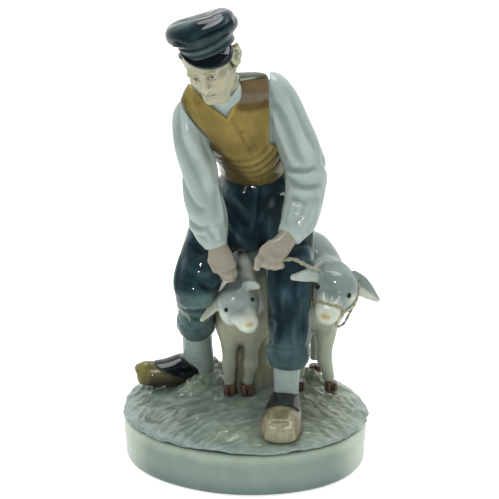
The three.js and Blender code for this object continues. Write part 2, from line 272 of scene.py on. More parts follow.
def in_chunks(field, P, size=60000):
    return np.concatenate([field(P[i : i + size]) for i in range(0, len(P), size)])


def gradient(field, P, e):
    """The field's value and its unit normal at P."""
    k = np.array([[1, -1, -1], [-1, -1, 1], [-1, 1, -1], [1, 1, 1]], float)
    values = [in_chunks(field, P + e * row) for row in k]
    g = sum(v[:, None] * row for v, row in zip(values, k))
    return sum(values) / 4, g / (4 * e)


def sculpt(field, low, high, cell):
    """The surface of a field as vertices, quads and normals, by surface nets on a sparse grid."""
    cell *= COARSER
    B = 4
    low, high = np.asarray(low, float), np.asarray(high, float)
    blocks = np.ceil((high - low) / (cell * B)).astype(int)
    at = np.stack(np.meshgrid(*[np.arange(n) for n in blocks], indexing="ij"), -1).reshape(-1, 3)
    rough = in_chunks(field, low + (at + 0.5) * cell * B - cell / 2)
    busy = at[np.abs(rough) < (B * 0.87 + 2) * cell * 1.3]
    F = np.repeat(np.repeat(np.repeat(rough.reshape(blocks), B, 0), B, 1), B, 2)
    offsets = np.stack(np.meshgrid(*[np.arange(B)] * 3, indexing="ij"), -1).reshape(-1, 3)
    fine = (busy[:, None, :] * B + offsets[None]).reshape(-1, 3)
    F[tuple(fine.T)] = in_chunks(field, low + fine * cell)
    F[0], F[-1], F[:, 0], F[:, -1], F[:, :, 0], F[:, :, -1] = [cell] * 6
    S = F < 0
    inside = sum(
        S[
            i : S.shape[0] - 1 + i, j : S.shape[1] - 1 + j, k : S.shape[2] - 1 + k,
        ].astype(np.int8) for i, j, k in CORNERS
    )
    cells = np.argwhere((inside > 0) & (inside < 8))
    value = np.stack([F[tuple((cells + c).T)] for c in CORNERS], 1)
    total = np.zeros((len(cells), 3))
    count = np.zeros(len(cells))
    for a, b in EDGES:
        cut = (value[:, a] < 0) != (value[:, b] < 0)
        t = np.clip(value[cut, a] / (value[cut, a] - value[cut, b]), 0, 1)[:, None]
        total[cut] += CORNERS[a] * (1 - t) + CORNERS[b] * t
        count[cut] += 1
    V = low + (cells + total / count[:, None]) * cell
    number = np.full(inside.shape, -1, np.int64)
    number[tuple(cells.T)] = np.arange(len(cells))
    quads = []
    for axis in range(3):
        o1, o2 = [np.eye(3, dtype=int)[(axis + j) % 3] for j in (1, 2)]
        a = [slice(None)] * 3
        b = [slice(None)] * 3
        a[axis], b[axis] = slice(0, -1), slice(1, None)
        sa, sb = S[tuple(a)], S[tuple(b)]
        for flip in (False, True):
            e = np.argwhere(sa & ~sb if not flip else ~sa & sb)
            e = e[(e[:, (axis + 1) % 3] > 0) & (e[:, (axis + 2) % 3] > 0)]
            ring = [e, e - o1, e - o1 - o2, e - o2]
            q = np.stack([number[tuple(np.minimum(r, np.array(number.shape) - 1).T)] for r in ring], 1)
            quads.append(q[:, ::-1] if flip else q)
    Q = np.concatenate(quads)
    Q = Q[(Q >= 0).all(1)]
    for turn in range(3):
        if turn:
            V = 0.4 * V + 0.6 * neighbours_mean(V, Q, len(V))
        f, g = gradient(field, V, cell * 0.3)
        size = np.maximum((g * g).sum(1), 0.2)
        V = V - np.clip(f / size, -cell * 0.6, cell * 0.6)[:, None] * g
    N = g / np.maximum(np.linalg.norm(g, axis=1), 1e-6)[:, None]
    return V, Q, N


def neighbours_mean(values, Q, n):
    total = np.zeros((n,) + values.shape[1:])
    count = np.zeros(n)
    for a, b in ((0, 1), (1, 2), (2, 3), (3, 0)):
        np.add.at(total, Q[:, a], values[Q[:, b]])
        np.add.at(count, Q[:, a], 1)
    return total / np.maximum(count, 1).reshape((-1,) + (1,) * (values.ndim - 1))


def relief(V, Q, N, rounds=8):
    """How far each point stands proud: about 1 on ridges and -1 in creases."""
    smooth = V
    for _ in range(rounds):
        smooth = neighbours_mean(smooth, Q, len(V))
    high = ((V - smooth) * N).sum(1)
    for _ in range(4):
        high = neighbours_mean(high, Q, len(V))
    cell = np.linalg.norm(V[Q[:, 0]] - V[Q[:, 1]], axis=1).mean()
    return np.clip(high / (0.7 * cell), -1.5, 1.5)


# ---------------------------------------------------------------- colours


def srgb(r, g, b):
    """A colour as it looks on screen, 0 to 255, as linear light."""
    c = np.array([r, g, b]) / 255.0
    return np.where(c < 0.04045, c / 12.92, ((c + 0.055) / 1.055) ** 2.4)


def mix(a, b, t):
    t = np.asarray(t, float)
    t = t[..., None] if t.ndim else t
    return np.asarray(a) * (1 - t) + np.asarray(b) * t


# ---------------------------------------------------------------- building a piece

pieces = []  # [name, field, box low, box high, cell, colour function, material, slot, CAD nodes]


def piece(name, field, box_low, box_high, cell, paint, slot, *nodes):
    pieces.append((name, field, box_low, box_high, cell, paint, slot, nodes))


def to_mesh(name, V, faces, colour):
    mesh = bpy.data.meshes.new(name)
    mesh.vertices.add(len(V))
    mesh.vertices.foreach_set("co", (V * MM + BASE).astype(np.float32).ravel())
    sides = faces.shape[1]
    mesh.loops.add(faces.size)
    mesh.loops.foreach_set("vertex_index", faces.astype(np.int32).ravel())
    mesh.polygons.add(len(faces))
    mesh.polygons.foreach_set("loop_start", np.arange(0, faces.size, sides, dtype=np.int32))
    mesh.polygons.foreach_set("use_smooth", np.ones(len(faces), bool))
    mesh.update(calc_edges=True)
    layer = mesh.attributes.new("Glaze", "FLOAT_COLOR", "POINT")
    rgba = np.ones((len(V), 4), np.float32)
    rgba[:, :3] = colour
    layer.data.foreach_set("color", rgba.ravel())
    made = bpy.data.objects.new(name, mesh)
    bpy.context.scene.collection.objects.link(made)
    return made


def place(made, material, slot, nodes):
    made.data.materials.append(material)
    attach(made, "root")
    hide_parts(*nodes)


# ---------------------------------------------------------------- materials


def glaze_material(name, mottle, mottle_scale, streak, bump):
    """Underglaze colour from the vertices, with light and shade painted into it, uneven as brushed pigment
    is, under a clear gloss glaze.
    """
    material = bpy.data.materials.new(name)
    material.use_nodes = True
    nodes, links = material.node_tree.nodes, material.node_tree.links
    nodes.clear()
    out = nodes.new("ShaderNodeOutputMaterial")
    shader = nodes.new("ShaderNodeBsdfPrincipled")
    shader.inputs["Roughness"].default_value = 0.42
    shader.inputs["IOR"].default_value = 1.45
    shader.inputs["Specular IOR Level"].default_value = 0.05
    shader.inputs["Coat Weight"].default_value = 1.0
    shader.inputs["Coat Roughness"].default_value = 0.035
    shader.inputs["Coat IOR"].default_value = 1.5
    colour = nodes.new("ShaderNodeAttribute")
    colour.attribute_name = "Glaze"
    place = nodes.new("ShaderNodeTexCoord")
    cloud = nodes.new("ShaderNodeTexNoise")
    cloud.inputs["Scale"].default_value = mottle_scale
    cloud.inputs["Detail"].default_value = 5.0
    cloud.inputs["Roughness"].default_value = 0.62
    brush = nodes.new("ShaderNodeTexNoise")
    stretch = nodes.new("ShaderNodeMapping")
    stretch.inputs["Scale"].default_value = (1.0, 1.0, 0.22)
    stretch.inputs["Rotation"].default_value = (0.3, 0.5, 0.2)
    brush.inputs["Scale"].default_value = mottle_scale * 2.2
    brush.inputs["Detail"].default_value = 3.0
    links.new(place.outputs["Object"], cloud.inputs["Vector"])
    links.new(place.outputs["Object"], stretch.inputs["Vector"])
    links.new(stretch.outputs["Vector"], brush.inputs["Vector"])
    previous = colour.outputs["Color"]
    for noise, amount in ((cloud, mottle), (brush, streak)):
        spread = nodes.new("ShaderNodeMapRange")
        spread.inputs["From Min"].default_value = 0.3
        spread.inputs["From Max"].default_value = 0.7
        spread.inputs["To Min"].default_value = 1 - amount
        spread.inputs["To Max"].default_value = 1 + amount
        scale = nodes.new("ShaderNodeVectorMath")
        scale.operation = "SCALE"
        links.new(noise.outputs["Fac"], spread.inputs["Value"])
        links.new(previous, scale.inputs[0])
        links.new(spread.outputs["Result"], scale.inputs["Scale"])
        previous = scale.outputs["Vector"]
    links.new(previous, shader.inputs["Base Color"])
    skin = nodes.new("ShaderNodeTexNoise")
    skin.inputs["Scale"].default_value = 420.0
    skin.inputs["Detail"].default_value = 2.0
    relief_node = nodes.new("ShaderNodeBump")
    relief_node.inputs["Strength"].default_value = bump
    relief_node.inputs["Distance"].default_value = 0.0006
    links.new(place.outputs["Object"], skin.inputs["Vector"])
    links.new(skin.outputs["Fac"], relief_node.inputs["Height"])
    links.new(relief_node.outputs["Normal"], shader.inputs["Normal"])
    links.new(relief_node.outputs["Normal"], shader.inputs["Coat Normal"])
    links.new(shader.outputs["BSDF"], out.inputs["Surface"])
    return material


GLAZES = {  # how mottled, the mottling's scale, how streaked and how bumpy
    "plinth": (0.07, 60, 0.04, 0.1),
    "turf": (0.16, 160, 0.12, 0.12),
    "skin": (0.05, 180, 0.03, 0.04),
    "shirt": (0.06, 90, 0.04, 0.07),
    "waistcoat": (0.1, 120, 0.1, 0.07),
    "navy": (0.22, 120, 0.2, 0.07),
    "black": (0.1, 150, 0.08, 0.04),
    "wood": (0.12, 150, 0.16, 0.07),
    "calf": (0.08, 150, 0.06, 0.08),
    "hoof": (0.15, 220, 0.2, 0.08),
    "rope": (0.12, 260, 0.12, 0.05),
}
MATERIALS = {f"{name}_glaze": glaze_material(f"{name}_glaze", *look) for name, look in GLAZES.items()}

# ---------------------------------------------------------------- plinth and turf

LONG, SHORT, OVAL_TURN = 51.5, 48.0, math.radians(-45)
PLINTH_HEIGHT = 17.5
GRASS_BLADES = 620
CLUMPS = (  # x, y, radius and height of the bold clumps of grass
    (25, 31, 5, 4.2), (
        30.5, 26, 4, 2.8,
    ), (22, 24, 4, 2.0), (36, 22, 5, 1.6), (41, 2, 7, 0.8), (33, -6, 6, 0.7),
    (-16, 17, 7.5, 5.4), (-21, 10.5, 5.5, 3.6), (-11, 27, 6.5, 2.6), (-15, 38, 7.5, 4.4), (-24, 24, 7, 1.2),
    (-37, 20, 8, 1.2),
)
LIP = (  # how far the turf's edge stands out, and how far down it has come
    (0.006, 0.55), (0.011, 1.1), (0.013, 1.7), (0.012, 2.3), (0.007, 2.9), (-0.004, 3.3), (-0.02, 3.5),
)


def oval(x, y):
    """Share of the plinth's radius at x, y."""
    a = x * math.cos(OVAL_TURN) + y * math.sin(OVAL_TURN)
    b = -x * math.sin(OVAL_TURN) + y * math.cos(OVAL_TURN)
    return np.sqrt((a / LONG) ** 2 + (b / SHORT) ** 2)


def oval_point(share, angle):
    a, b = share * LONG * np.cos(angle), share * SHORT * np.sin(angle)
    c, s = math.cos(OVAL_TURN), math.sin(OVAL_TURN)
    return a * c - b * s, a * s + b * c


def revolve(rings):
    """Quads between rings of points that each close on themselves."""
    count, around = len(rings), len(rings[0])
    V = np.concatenate(rings)
    i = np.arange(around)
    j = (i + 1) % around
    ring = np.stack([i, j, j + around, i + around], 1)
    return V, np.concatenate([ring + r * around for r in range(count - 1)])


def build_plinth():
    around = 360
    angle = np.linspace(0, 2 * np.pi, around, endpoint=False)
    profile = [
        (0.0, 9.0), (0.02, 9.0), (0.045, 9.0), (0.058, 8.6), (0.06, 6), (0.06, 3), (0.064, 2.4), (0.1, 2.4),
        (0.4, 2.4),
    ]
    profile += [
        (0.8, 2.4), (0.862, 2.35), (0.878, 1.9), (0.889, 0.35), (0.897, 0.0), (0.93, 0.0), (0.958, 0.02),
    ]
    profile += [(0.97, 0.25), (0.9785, 0.8), (0.983, 1.6)]
    profile += [(0.983 + 0.016 * t ** 0.7, 1.6 + 13.6 * t) for t in np.linspace(0.06, 1, 16)]
    profile += [
        (1.0015, 16.4), (1.0, 17.2), (0.992, 17.9), (0.975, 18.2), (0.9, 18.2), (0.5, 18.2), (0.0, 18.2),
    ]
    rings = []
    for share, z in profile:
        waves = np.sin(3 * angle + 1) + 0.6 * np.sin(7 * angle + 2) + 0.5 * np.sin(z * 0.5 + 2 * angle)
        wobble = 0.0035 * step(0.9, 0.98, share) * waves
        x, y = oval_point((share + wobble) * (1 + 0.03 * step(0.95, 0.985, share)), angle)
        rings.append(np.stack([x + 0.5, y, np.full(around, z)], 1))
    V, Q = revolve(rings)
    z = V[:, 2]
    share = oval(V[:, 0], V[:, 1])
    # painted light: the upper band of the wall is painted lighter
    rim = step(12.5, 17, z + 0.8 * hand_made(V))
    colour = mix(srgb(128, 144, 136), srgb(152, 165, 152), rim)
    # painted shade: the foot of the wall is painted darker
    colour = mix(colour, srgb(100, 118, 118), step(9, 0, z) * 0.75)
    # painted light: the left and right sides of the wall are painted lighter, in place of the bright
    # reflections there
    colour = mix(colour, srgb(196, 204, 186), step(36, 50, np.abs(V[:, 0])) * 0.6)
    colour = mix(colour, srgb(196, 196, 186), step(0.975, 0.95, share) * step(3, 1, z))
    made = to_mesh("plinth_wall", V, Q, colour)
    place(made, MATERIALS["plinth_glaze"], "plinth_glaze", ["plinth"])


def turf_height(x, y):
    share = oval(x, y)
    return 21.5 + 3.5 * (1 - share**2) + 0.03 * y


def build_turf():
    around, rings_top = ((720, 210))
    draw = np.random.default_rng(5)
    angle = np.linspace(0, 2 * np.pi, around, endpoint=False)

    def uneven(waves, power):
        """An uneven line round the edge, between -1 and 1."""
        line = sum(
            draw.uniform(0.3, 1) * np.sin(n * angle + draw.uniform(0, 6.3)) / n**power
            for n in waves
        )
        return line / np.abs(line).max()

    ragged = uneven((5, 9, 13, 19, 27, 37, 51), 0.55)
    drop = uneven((4, 7, 12, 17, 29, 41), 0.45)
    edge = 1.052 + 0.018 * ragged
    inner, outer = int(rings_top * 0.72), int(rings_top * 0.28)
    shares = np.concatenate([np.linspace(0, 0.8, inner, endpoint=False), np.linspace(0.8, 0.975, outer)])
    rings = []
    for share in shares:
        x, y = oval_point(share * edge / 1.052 * (1 + 0.05 * step(0.7, 1, share)), angle)
        rings.append(np.stack([x + 0.6, y, turf_height(x, y)], 1))
    top = np.concatenate(rings)
    x, y = top[:, 0], top[:, 1]
    rise = np.zeros(len(top))
    dark = np.zeros(len(top))
    # low tufts
    flat = np.stack([x, y, 0 * x], 1)
    rise += ripple(21, 13, 9)(flat) * 0.45 + ripple(22, 6.5, 9)(flat) * 0.16
    # grass blades, laid by a brush in sweeps
    for _ in range(GRASS_BLADES):
        r = math.sqrt(draw.uniform(0, 1))
        cx, cy = oval_point(r, draw.uniform(0, 2 * np.pi))
        flow = 50 - 104 * float(step(6, 26, cx + 0.25 * cy)) + 18 * math.sin(cx * 0.09 + cy * 0.05)
        flow = math.radians(flow + draw.normal() * 13)
        length, width = draw.uniform(5, 13), draw.uniform(0.55, 1.15)
        height = draw.uniform(0.12, 0.42) * (1 if draw.uniform() < 0.6 else -0.75)
        bend = draw.normal() * 0.016
        dx, dy = x - cx, y - cy
        near = np.nonzero(dx * dx + dy * dy < (length * 1.25) ** 2)[0]
        u = dx[near] * math.cos(flow) + dy[near] * math.sin(flow)
        v = -dx[near] * math.sin(flow) + dy[near] * math.cos(flow) - bend * u * u
        g = np.exp(-((v / width) ** 2)) * np.clip(1 - (u / length) ** 2, 0, 1)
        rise[near] += height * g
        # painted shade along sunken blades and painted highlight along raised ones
        dark[near] += (0.5 if height < 0 else -0.35) * g
    for cx, cy, r, h in CLUMPS:
        d = np.hypot(x - cx, y - cy)
        rise += h * np.exp(-((d / r) ** 2)) * (1 + 0.25 * np.cos(d * 1.9))
    calm = step(1.03, 0.93, oval(x, y))
    top[:, 2] += rise * (0.55 + 0.45 * calm)
    start = (len(shares) - 1) * around
    last = top[start:].copy()
    lip = []
    for share_out, fall in LIP:
        x, y = oval_point(edge + share_out - 0.027 + 0.002 * np.sin(angle * 61), angle)
        x = x + 0.6
        bottom = PLINTH_HEIGHT + 0.45 + 0.9 * (1 + drop)
        z = last[:, 2] + (bottom - last[:, 2]) * fall / 3.5
        lip.append(np.stack([x, y, z], 1))
    under = []
    for share in (0.97, 0.6, 0.0):
        x, y = oval_point(share, angle)
        under.append(np.stack([x, y, np.full(around, PLINTH_HEIGHT + 0.5)], 1))
    V = np.concatenate([top] + lip + under)
    count = len(V) // around
    V, Q = revolve([V[i * around : (i + 1) * around] for i in range(count)])
    Q = Q[:, ::-1]
    shade = np.zeros(len(V))
    shade[: len(dark)] = np.clip(dark, -1, 1)
    height = np.zeros(len(V))
    height[: len(rise)] = rise
    share = oval(V[:, 0], V[:, 1])
    cloud = ripple(31, 24, 9)(V * [1, 1, 0])
    colour = mix(srgb(118, 134, 124), srgb(136, 149, 134), step(-0.6, 0.9, cloud))
    colour = mix(colour, srgb(137, 147, 125), step(12, 34, V[:, 0]) * 0.7)
    colour = mix(colour, srgb(108, 124, 114), step(-18, -38, V[:, 0]) * 0.6)
    # painted shade in the grooves and painted highlight on the raised blades
    colour = mix(colour, srgb(92, 108, 98), np.clip(shade, 0, 1) * 0.6)
    colour = mix(colour, srgb(158, 169, 158), np.clip(-shade, 0, 1) * 0.4)
    # painted shade in the hollows
    colour = mix(colour, srgb(92, 107, 98), step(-0.2, -1.0, height) * 0.4)
    colour = mix(colour, srgb(110, 110, 84), step(0.5, 1.2, ripple(33, 17, 8)(V)) * 0.35)
    colour = mix(colour, srgb(134, 152, 150), step(0.9, 1.0, share) * 0.55)
    made = to_mesh("turf_top", V, Q, colour)
    place(made, MATERIALS["turf_glaze"], "turf_glaze", ["turf"])


# ---------------------------------------------------------------- the farmer's feet

clog_right = Tube(
    [
        (-17.5, 21.5, 30.6, 5.0, 5.0), (-24, 19, 31.2, 6.2, 6.2), (-32.5, 16, 30.2, 6.6, 5.4),
        (-39.6, 14.4, 30.0, 6.0, 5.0), (-43, 13.5, 30.6, 4.8, 4.6),
    ],
    side=(0, 1, 0),
    front=(0, 0, 1),
    cap=0.55,
)
clog_left = Tube(
    [
        (18.2, -9, 27.5, 5.8, 5.4), (17.4, -18, 27.8, 6.8, 6.6), (15.8, -32, 26.2, 8.6, 6.2),
        (15.2, -39.4, 26.2, 9.0, 6.0), (15, -44, 26, 8.2, 5.4),
    ],
    front=(0, 0, 1),
    cap=0.5,
)


def clog_field(tube, sole_height, sole_slope, folds, shape=None, cuts=()):
    facets = Folds(folds)

    def field(P):
        d = (shape or tube)(P)
        for point, normal in cuts:
            d = smooth_max(d, (P - np.array(point)) @ unit(normal), 1.6)
        d = d - facets(P)
        sole = sole_height + sole_slope(P) - P[:, 2]
        return smooth_max(d, sole, 1.6)

    return field


def clog_paint(tube, light, dark, tip):
    def paint(P, N, ridge):
        _, s, angle = tube.at(P)
        grain = 0.5 + 0.5 * np.sin(P[:, 2] * 2.2 + 1.5 * hand_made(P * 1.7) + P[:, 0] * 0.2)
        # painted light and shade: faces turned up and ridges lighter, faces turned down and creases darker
        colour = mix(dark, light, step(0.1, 0.9, 0.35 + 0.5 * N[:, 2] + 0.35 * ridge))
        colour = mix(colour, dark, 0.18 * grain + 0.3 * step(0.55, 0.9, np.abs(np.cos(angle))))
        return mix(colour, tip, step(0.8, 1.0, s) * 0.6)

    return paint


right_clog_folds = [
    ([clog_right.point(0.5, 96), clog_right.point(0.75, 92), clog_right.point(1, 92)], 1.5, 0.5),
    ([clog_right.point(0.55, 140), clog_right.point(0.78, 130), clog_right.point(0.98, 112)], 1.6, -0.6),
    ([clog_right.point(0.55, 40), clog_right.point(0.78, 48), clog_right.point(0.95, 70)], 1.8, -0.5),
    ([clog_right.point(0.96, 60), clog_right.point(0.99, 95), clog_right.point(0.96, 130)], 1.3, 0.6),
    ([clog_right.point(0.3, 178), clog_right.point(0.6, 182), clog_right.point(0.9, 180)], 1.6, 0.35),
    ([clog_right.point(0.3, 0), clog_right.point(0.6, -3), clog_right.point(0.9, 0)], 1.6, 0.35),
]
LEFT_CLOG_CUTS = [
    ((15, -40, 30.4), (0, -0.52, 0.86)),
    ((15, -46.3, 26), (0, -0.95, 0.28)),
    ((23.2, -38, 27), (0.9, -0.3, 0.3)),
    ((6.9, -38, 27), (-0.9, -0.3, 0.3)),
]
left_clog_folds = [
    ([(10.6, -33, 31.4), (11, -37, 31.6), (11.4, -41.4, 29.6)], 0.9, 0.6),
    ([(19.4, -33, 31.4), (19, -37, 31.6), (18.6, -41.4, 29.6)], 0.9, 0.6),
    ([(11.4, -42.4, 29), (15, -43.2, 28.8), (18.6, -42.4, 29)], 0.9, 0.6),
    ([(15.2, -33.5, 32.4), (15, -37, 31.8), (15, -40.4, 30.2)], 2.6, -1.5),
    ([(8, -34, 26), (8, -40, 25.6), (10, -45, 25)], 1.2, 0.5),
    ([(22.6, -34, 26), (22, -40, 25.6), (20, -45, 25)], 1.2, 0.5),
]


def left_clog_paint(P, N, ridge):
    """A pale front, painted shade in the hollow on top and in creases, painted highlights on ridges, and
    brown sides.
    """
    grain = 0.5 + 0.5 * np.sin(P[:, 0] * 2.4 + 1.5 * hand_made(P * 1.7))
    colour = mix(srgb(104, 97, 73), srgb(130, 125, 99), step(-0.9, 0.8, ridge + 0.3 * hand_made(P)))
    colour = mix(colour, srgb(146, 143, 118), step(0.25, 0.7, -N[:, 1]) * step(-36, -42, P[:, 1]))
    colour = mix(colour, srgb(106, 88, 64), step(0.5, 0.85, np.abs(N[:, 0])) * 0.8)
    # painted highlight on the ridges
    colour = mix(colour, srgb(152, 148, 124), step(0.5, 1.3, ridge) * 0.5)
    # wood grain, with painted shade in the hollow and creases
    return mix(colour, srgb(110, 100, 74), 0.15 * grain + 0.5 * step(-0.3, -1.2, ridge))


piece(
    "clog_right_wood",
    clog_field(
        clog_right, 24.4, lambda P: 0.03 * np.clip(-38 - P[:, 0], 0, 20) ** 1.6, right_clog_folds,
        union(clog_right, (rod((-41, 14, 32.6), (-44.9, 13.2, 33.5), 2.6, 1.5), 3)),
    ),
    (-50, 5, 19), (-8, 30, 42), 0.34,
    clog_paint(clog_right, srgb(112, 106, 78), srgb(66, 60, 42), srgb(128, 124, 72)),
    "wood_glaze", "clog_right",
)
piece(
    "clog_left_wood",
    clog_field(clog_left, 20.6, lambda P: 0.06 * (P[:, 1] + 43), left_clog_folds, cuts=LEFT_CLOG_CUTS),
    (2, -50, 16), (28, 0, 37), 0.34,
    left_clog_paint,
    "wood_glaze", "clog_left",
)


def instep_left(P):
    """A leather band over the left clog, cut square across it."""
    d, s, angle = clog_left.at(P)
    a = np.degrees(angle)
    band = np.maximum(0.24 - s, s - 0.47) * 38
    side = np.maximum(36 - a, a - 144) * 0.14
    shell = np.maximum(d - 0.75, -d - 1.8)
    return smooth_max(smooth_max(shell, band, 0.5), side, 0.5)


def boot_black(P, N, ridge):
    # painted highlight on the leather's ridges
    return mix(srgb(14, 22, 26), srgb(54, 64, 62), step(0.2, 1.0, ridge) * 0.8)


def instep_right(P):
    """The right band follows the foot up to the stocking, so its edges slant."""
    d = clog_right(P)
    x, z = P[:, 0], P[:, 2]
    slant = 0.51 * x + 0.86 * z
    shell = np.maximum(d - 0.8, -d - 1.8)
    band = np.maximum(np.maximum(11.0 - slant, slant - 18.4), (28.0 + 0.4 * (x + 25.4) - z) * 0.9)
    return smooth_max(shell, band, 0.5)


piece(
    "instep_right_leather", instep_right, (-40, 2, 22), (-8, 32, 44), 0.3, boot_black, "black_glaze",
    "instep_right",
)

piece(
    "instep_left_leather", instep_left, (6, -32, 20), (28, -8, 38), 0.3, boot_black, "black_glaze",
    "instep_left",
)

stocking_right = Tube(
    [
        (-19, 21, 30, 6.6, 6.8), (-19.4, 18.6, 37, 6.5, 6.2), (-19.7, 14.6, 46, 6.3, 6.2),
        (-19.8, 10, 57, 6.6, 6.4),
    ]
)
stocking_left = Tube(
    [
        (17.8, -15.5, 29, 5.4, 6.6), (17.9, -16.6, 35, 5.2, 5.8), (18, -17.6, 43, 5.6, 5.6),
        (18.2, -17.6, 52, 6, 6),
    ]
)


def wrinkled(tube, starts, middles, ends, depth):
    """A stocking with four creases. starts, middles and ends each hold a first place and a gap."""
    creases = []
    for i in range(4):
        first, middle, last = (place + gap * i for place, gap in (starts, middles, ends))
        points = [tube.point(first, 150 - 20 * i), tube.point(middle, 90), tube.point(last, 40)]
        creases.append((points, 1.1, -depth))
    folds = Folds(creases)
    return lambda P: tube(P) - folds(P)


def stocking_paint(P, N, ridge):
    # painted light and shade: ridges lighter, creases darker
    colour = mix(srgb(132, 150, 146), srgb(158, 172, 166), step(-0.5, 0.8, ridge))
    # painted shade at the top, under the turn-up
    return mix(colour, srgb(112, 124, 114), step(48, 53, P[:, 2]) * 0.4)


piece(
    "stocking_right_wool", wrinkled(stocking_right, (0.2, 0.1), (0.26, 0.1), (0.2, 0.1), 0.22),
    (-30, 0, 22), (-9, 34, 64), 0.42, stocking_paint, "shirt_glaze", "stocking_right",
)
piece(
    "stocking_left_wool", wrinkled(stocking_left, (0.2, 0.12), (0.27, 0.1), (0.22, 0.1), 0.2), (9, -26, 22),
    (27, -6, 58), 0.42, stocking_paint, "shirt_glaze", "stocking_left",
)

# ---------------------------------------------------------------- the farmer's trousers

leg_right = Tube(
    [
        (-20, 9.6, 54.5, 7.2, 7.4), (-19.4, 4, 63, 7.8, 8.4), (-19.4, -3, 71.5, 8.8, 9.4),
        (-18.6, -6, 79, 9.7, 10.2), (-13.8, 3, 92, 10.6, 11.8), (-7, 14, 104, 12, 13),
    ],
    cap=0.4,
)

leg_left = Tube(
    [
        (18.4, -17.6, 50, 7.4, 7.8), (18.7, -17.4, 60, 8.6, 9), (18.8, -16.4, 74, 9.2, 9.6),
        (18.9, -14.4, 88, 9.8, 10.4), (18.2, -3, 98.5, 11.2, 11.6), (14.5, 14, 105, 12.2, 13),
    ],
    cap=0.4,
)
seat = Tube(
    [
        (3, 20, 94.5, 14, 14.5), (3.6, 20.5, 104, 19, 17.5), (4.4, 13.5, 117, 14.9, 13),
        (4.4, 10.5, 123, 14, 12.6),
    ],
    cap=0.5,
)
crotch = Tube([(2, 7, 112, 12, 11), (2, 4.5, 102, 11, 10), (0, 3.4, 95, 8.6, 8.8)], cap=0.7)
R, L = leg_right.point, leg_left.point
trouser_folds = Folds(
    [
        # right leg: knee and shin
        ([R(0.42, 20), R(0.5, 60), R(0.47, 110), R(0.42, 160)], 2.0, 0.55),
        ([R(0.36, 30), R(0.42, 75), R(0.38, 130)], 1.3, -0.5),
        ([R(0.6, 10), R(0.57, 60), R(0.62, 120)], 1.5, -0.55),
        ([R(0.68, 40), R(0.62, 80), R(0.66, 140)], 2.0, 0.5),
        ([R(0.1, 60), R(0.25, 75), R(0.4, 70)], 1.6, 0.5),
        ([R(0.08, 110), R(0.22, 125), R(0.38, 120)], 1.7, -0.5),
        ([R(0.06, 150), R(0.2, 160), R(0.36, 158)], 1.5, 0.5),
        ([R(0.5, 150), R(0.58, 165), R(0.7, 160)], 1.8, 0.7),
        ([R(0.75, 60), R(0.7, 95), R(0.74, 130)], 1.5, -0.45),
        # left leg: long soft folds on the front and a knee fold low on its inner side
        ([L(0.1, 150), L(0.19, 135), L(0.28, 128), L(0.3, 150)], 1.1, 0.75),
        ([L(0.11, 128), L(0.2, 118), L(0.29, 112)], 1.3, -0.5),
        ([L(0.08, 70), L(0.2, 78), L(0.36, 74)], 1.8, 0.45),
        ([L(0.12, 40), L(0.28, 48), L(0.42, 44)], 1.6, -0.4),
        ([L(0.3, 100), L(0.42, 106), L(0.52, 98)], 1.8, 0.45),
        ([L(0.38, 70), L(0.48, 78), L(0.56, 70)], 1.5, -0.4),
        ([L(0.46, 130), L(0.55, 120), L(0.62, 130)], 1.5, -0.5),
        ([L(0.62, 20), L(0.6, 60), L(0.62, 110)], 2.0, 0.6),
        ([L(0.68, 30), L(0.66, 70), L(0.7, 110)], 1.4, -0.5),
        # fly, hip folds and the crotch
        ([(5.6, -0.6, 119), (5.0, -3, 112), (4.2, -4.6, 104), (3.0, -4.6, 97)], 1.0, 0.7),
        ([(7.0, -0.6, 119), (6.6, -3, 112), (5.8, -4.6, 104)], 0.9, -0.6),
        ([(-7, 1, 116), (-2, -3.4, 111), (3.4, -4.6, 105)], 1.2, 0.75),
        ([(-8, -0.4, 111), (-3, -4.6, 106), (2, -5.4, 101)], 1.3, -0.7),
        ([(-9, -2, 106), (-5, -5.6, 100), (-1, -5.6, 95)], 1.4, 0.75),
        ([(14.5, 1, 114), (10.6, -3, 109), (6.6, -5, 103)], 1.3, 0.8),
        ([(15.6, -2, 109), (11.6, -5, 103.4), (8, -5.6, 98)], 1.3, -0.7),
        ([(10, -1.4, 118), (12, -3.6, 111), (12.4, -6, 104)], 1.2, 0.6),
        # back: seat seam and folds under it
        ([(4.3, 27, 118), (4, 36, 108), (3.2, 35, 98), (3, 30, 90)], 1.1, -0.8),
        ([(-10, 30, 96), (-3, 33, 92), (2, 31, 89)], 1.6, -0.7),
        ([(17, 28, 96), (10, 32, 92), (5, 31, 89)], 1.6, -0.7),
        ([(-13, 24, 104), (-8, 31, 100), (-2, 34, 99)], 1.8, 0.5),
        ([(19, 22, 104), (14, 29, 100), (8, 33, 99)], 1.8, 0.5),
        ([(-9, 26, 114), (-4, 32, 110), (2, 34, 108)], 1.5, -0.45),
        ([(17, 24, 114), (12, 30, 110), (7, 33, 108)], 1.5, -0.45),
    ]
)


def trousers(P):
    d = smooth_min(leg_right(P), leg_left(P), 2.0)
    d = smooth_min(smooth_min(d, seat(P), 6), crotch(P), 3)
    d = d - 1.5 * trouser_folds(P) - 0.2 * hand_made(P) - 0.3 * cloth(P * [1, 1, 0.55])
    waist = (P[:, 2] - 121.5) * 0.85 + (P[:, 1] - 8) * 0.5  # hidden under the waistcoat
    hems = np.where(P[:, 0] < 0, 54.2, 48.5) - P[:, 2]
    return np.maximum(smooth_max(d, waist, 1), hems)


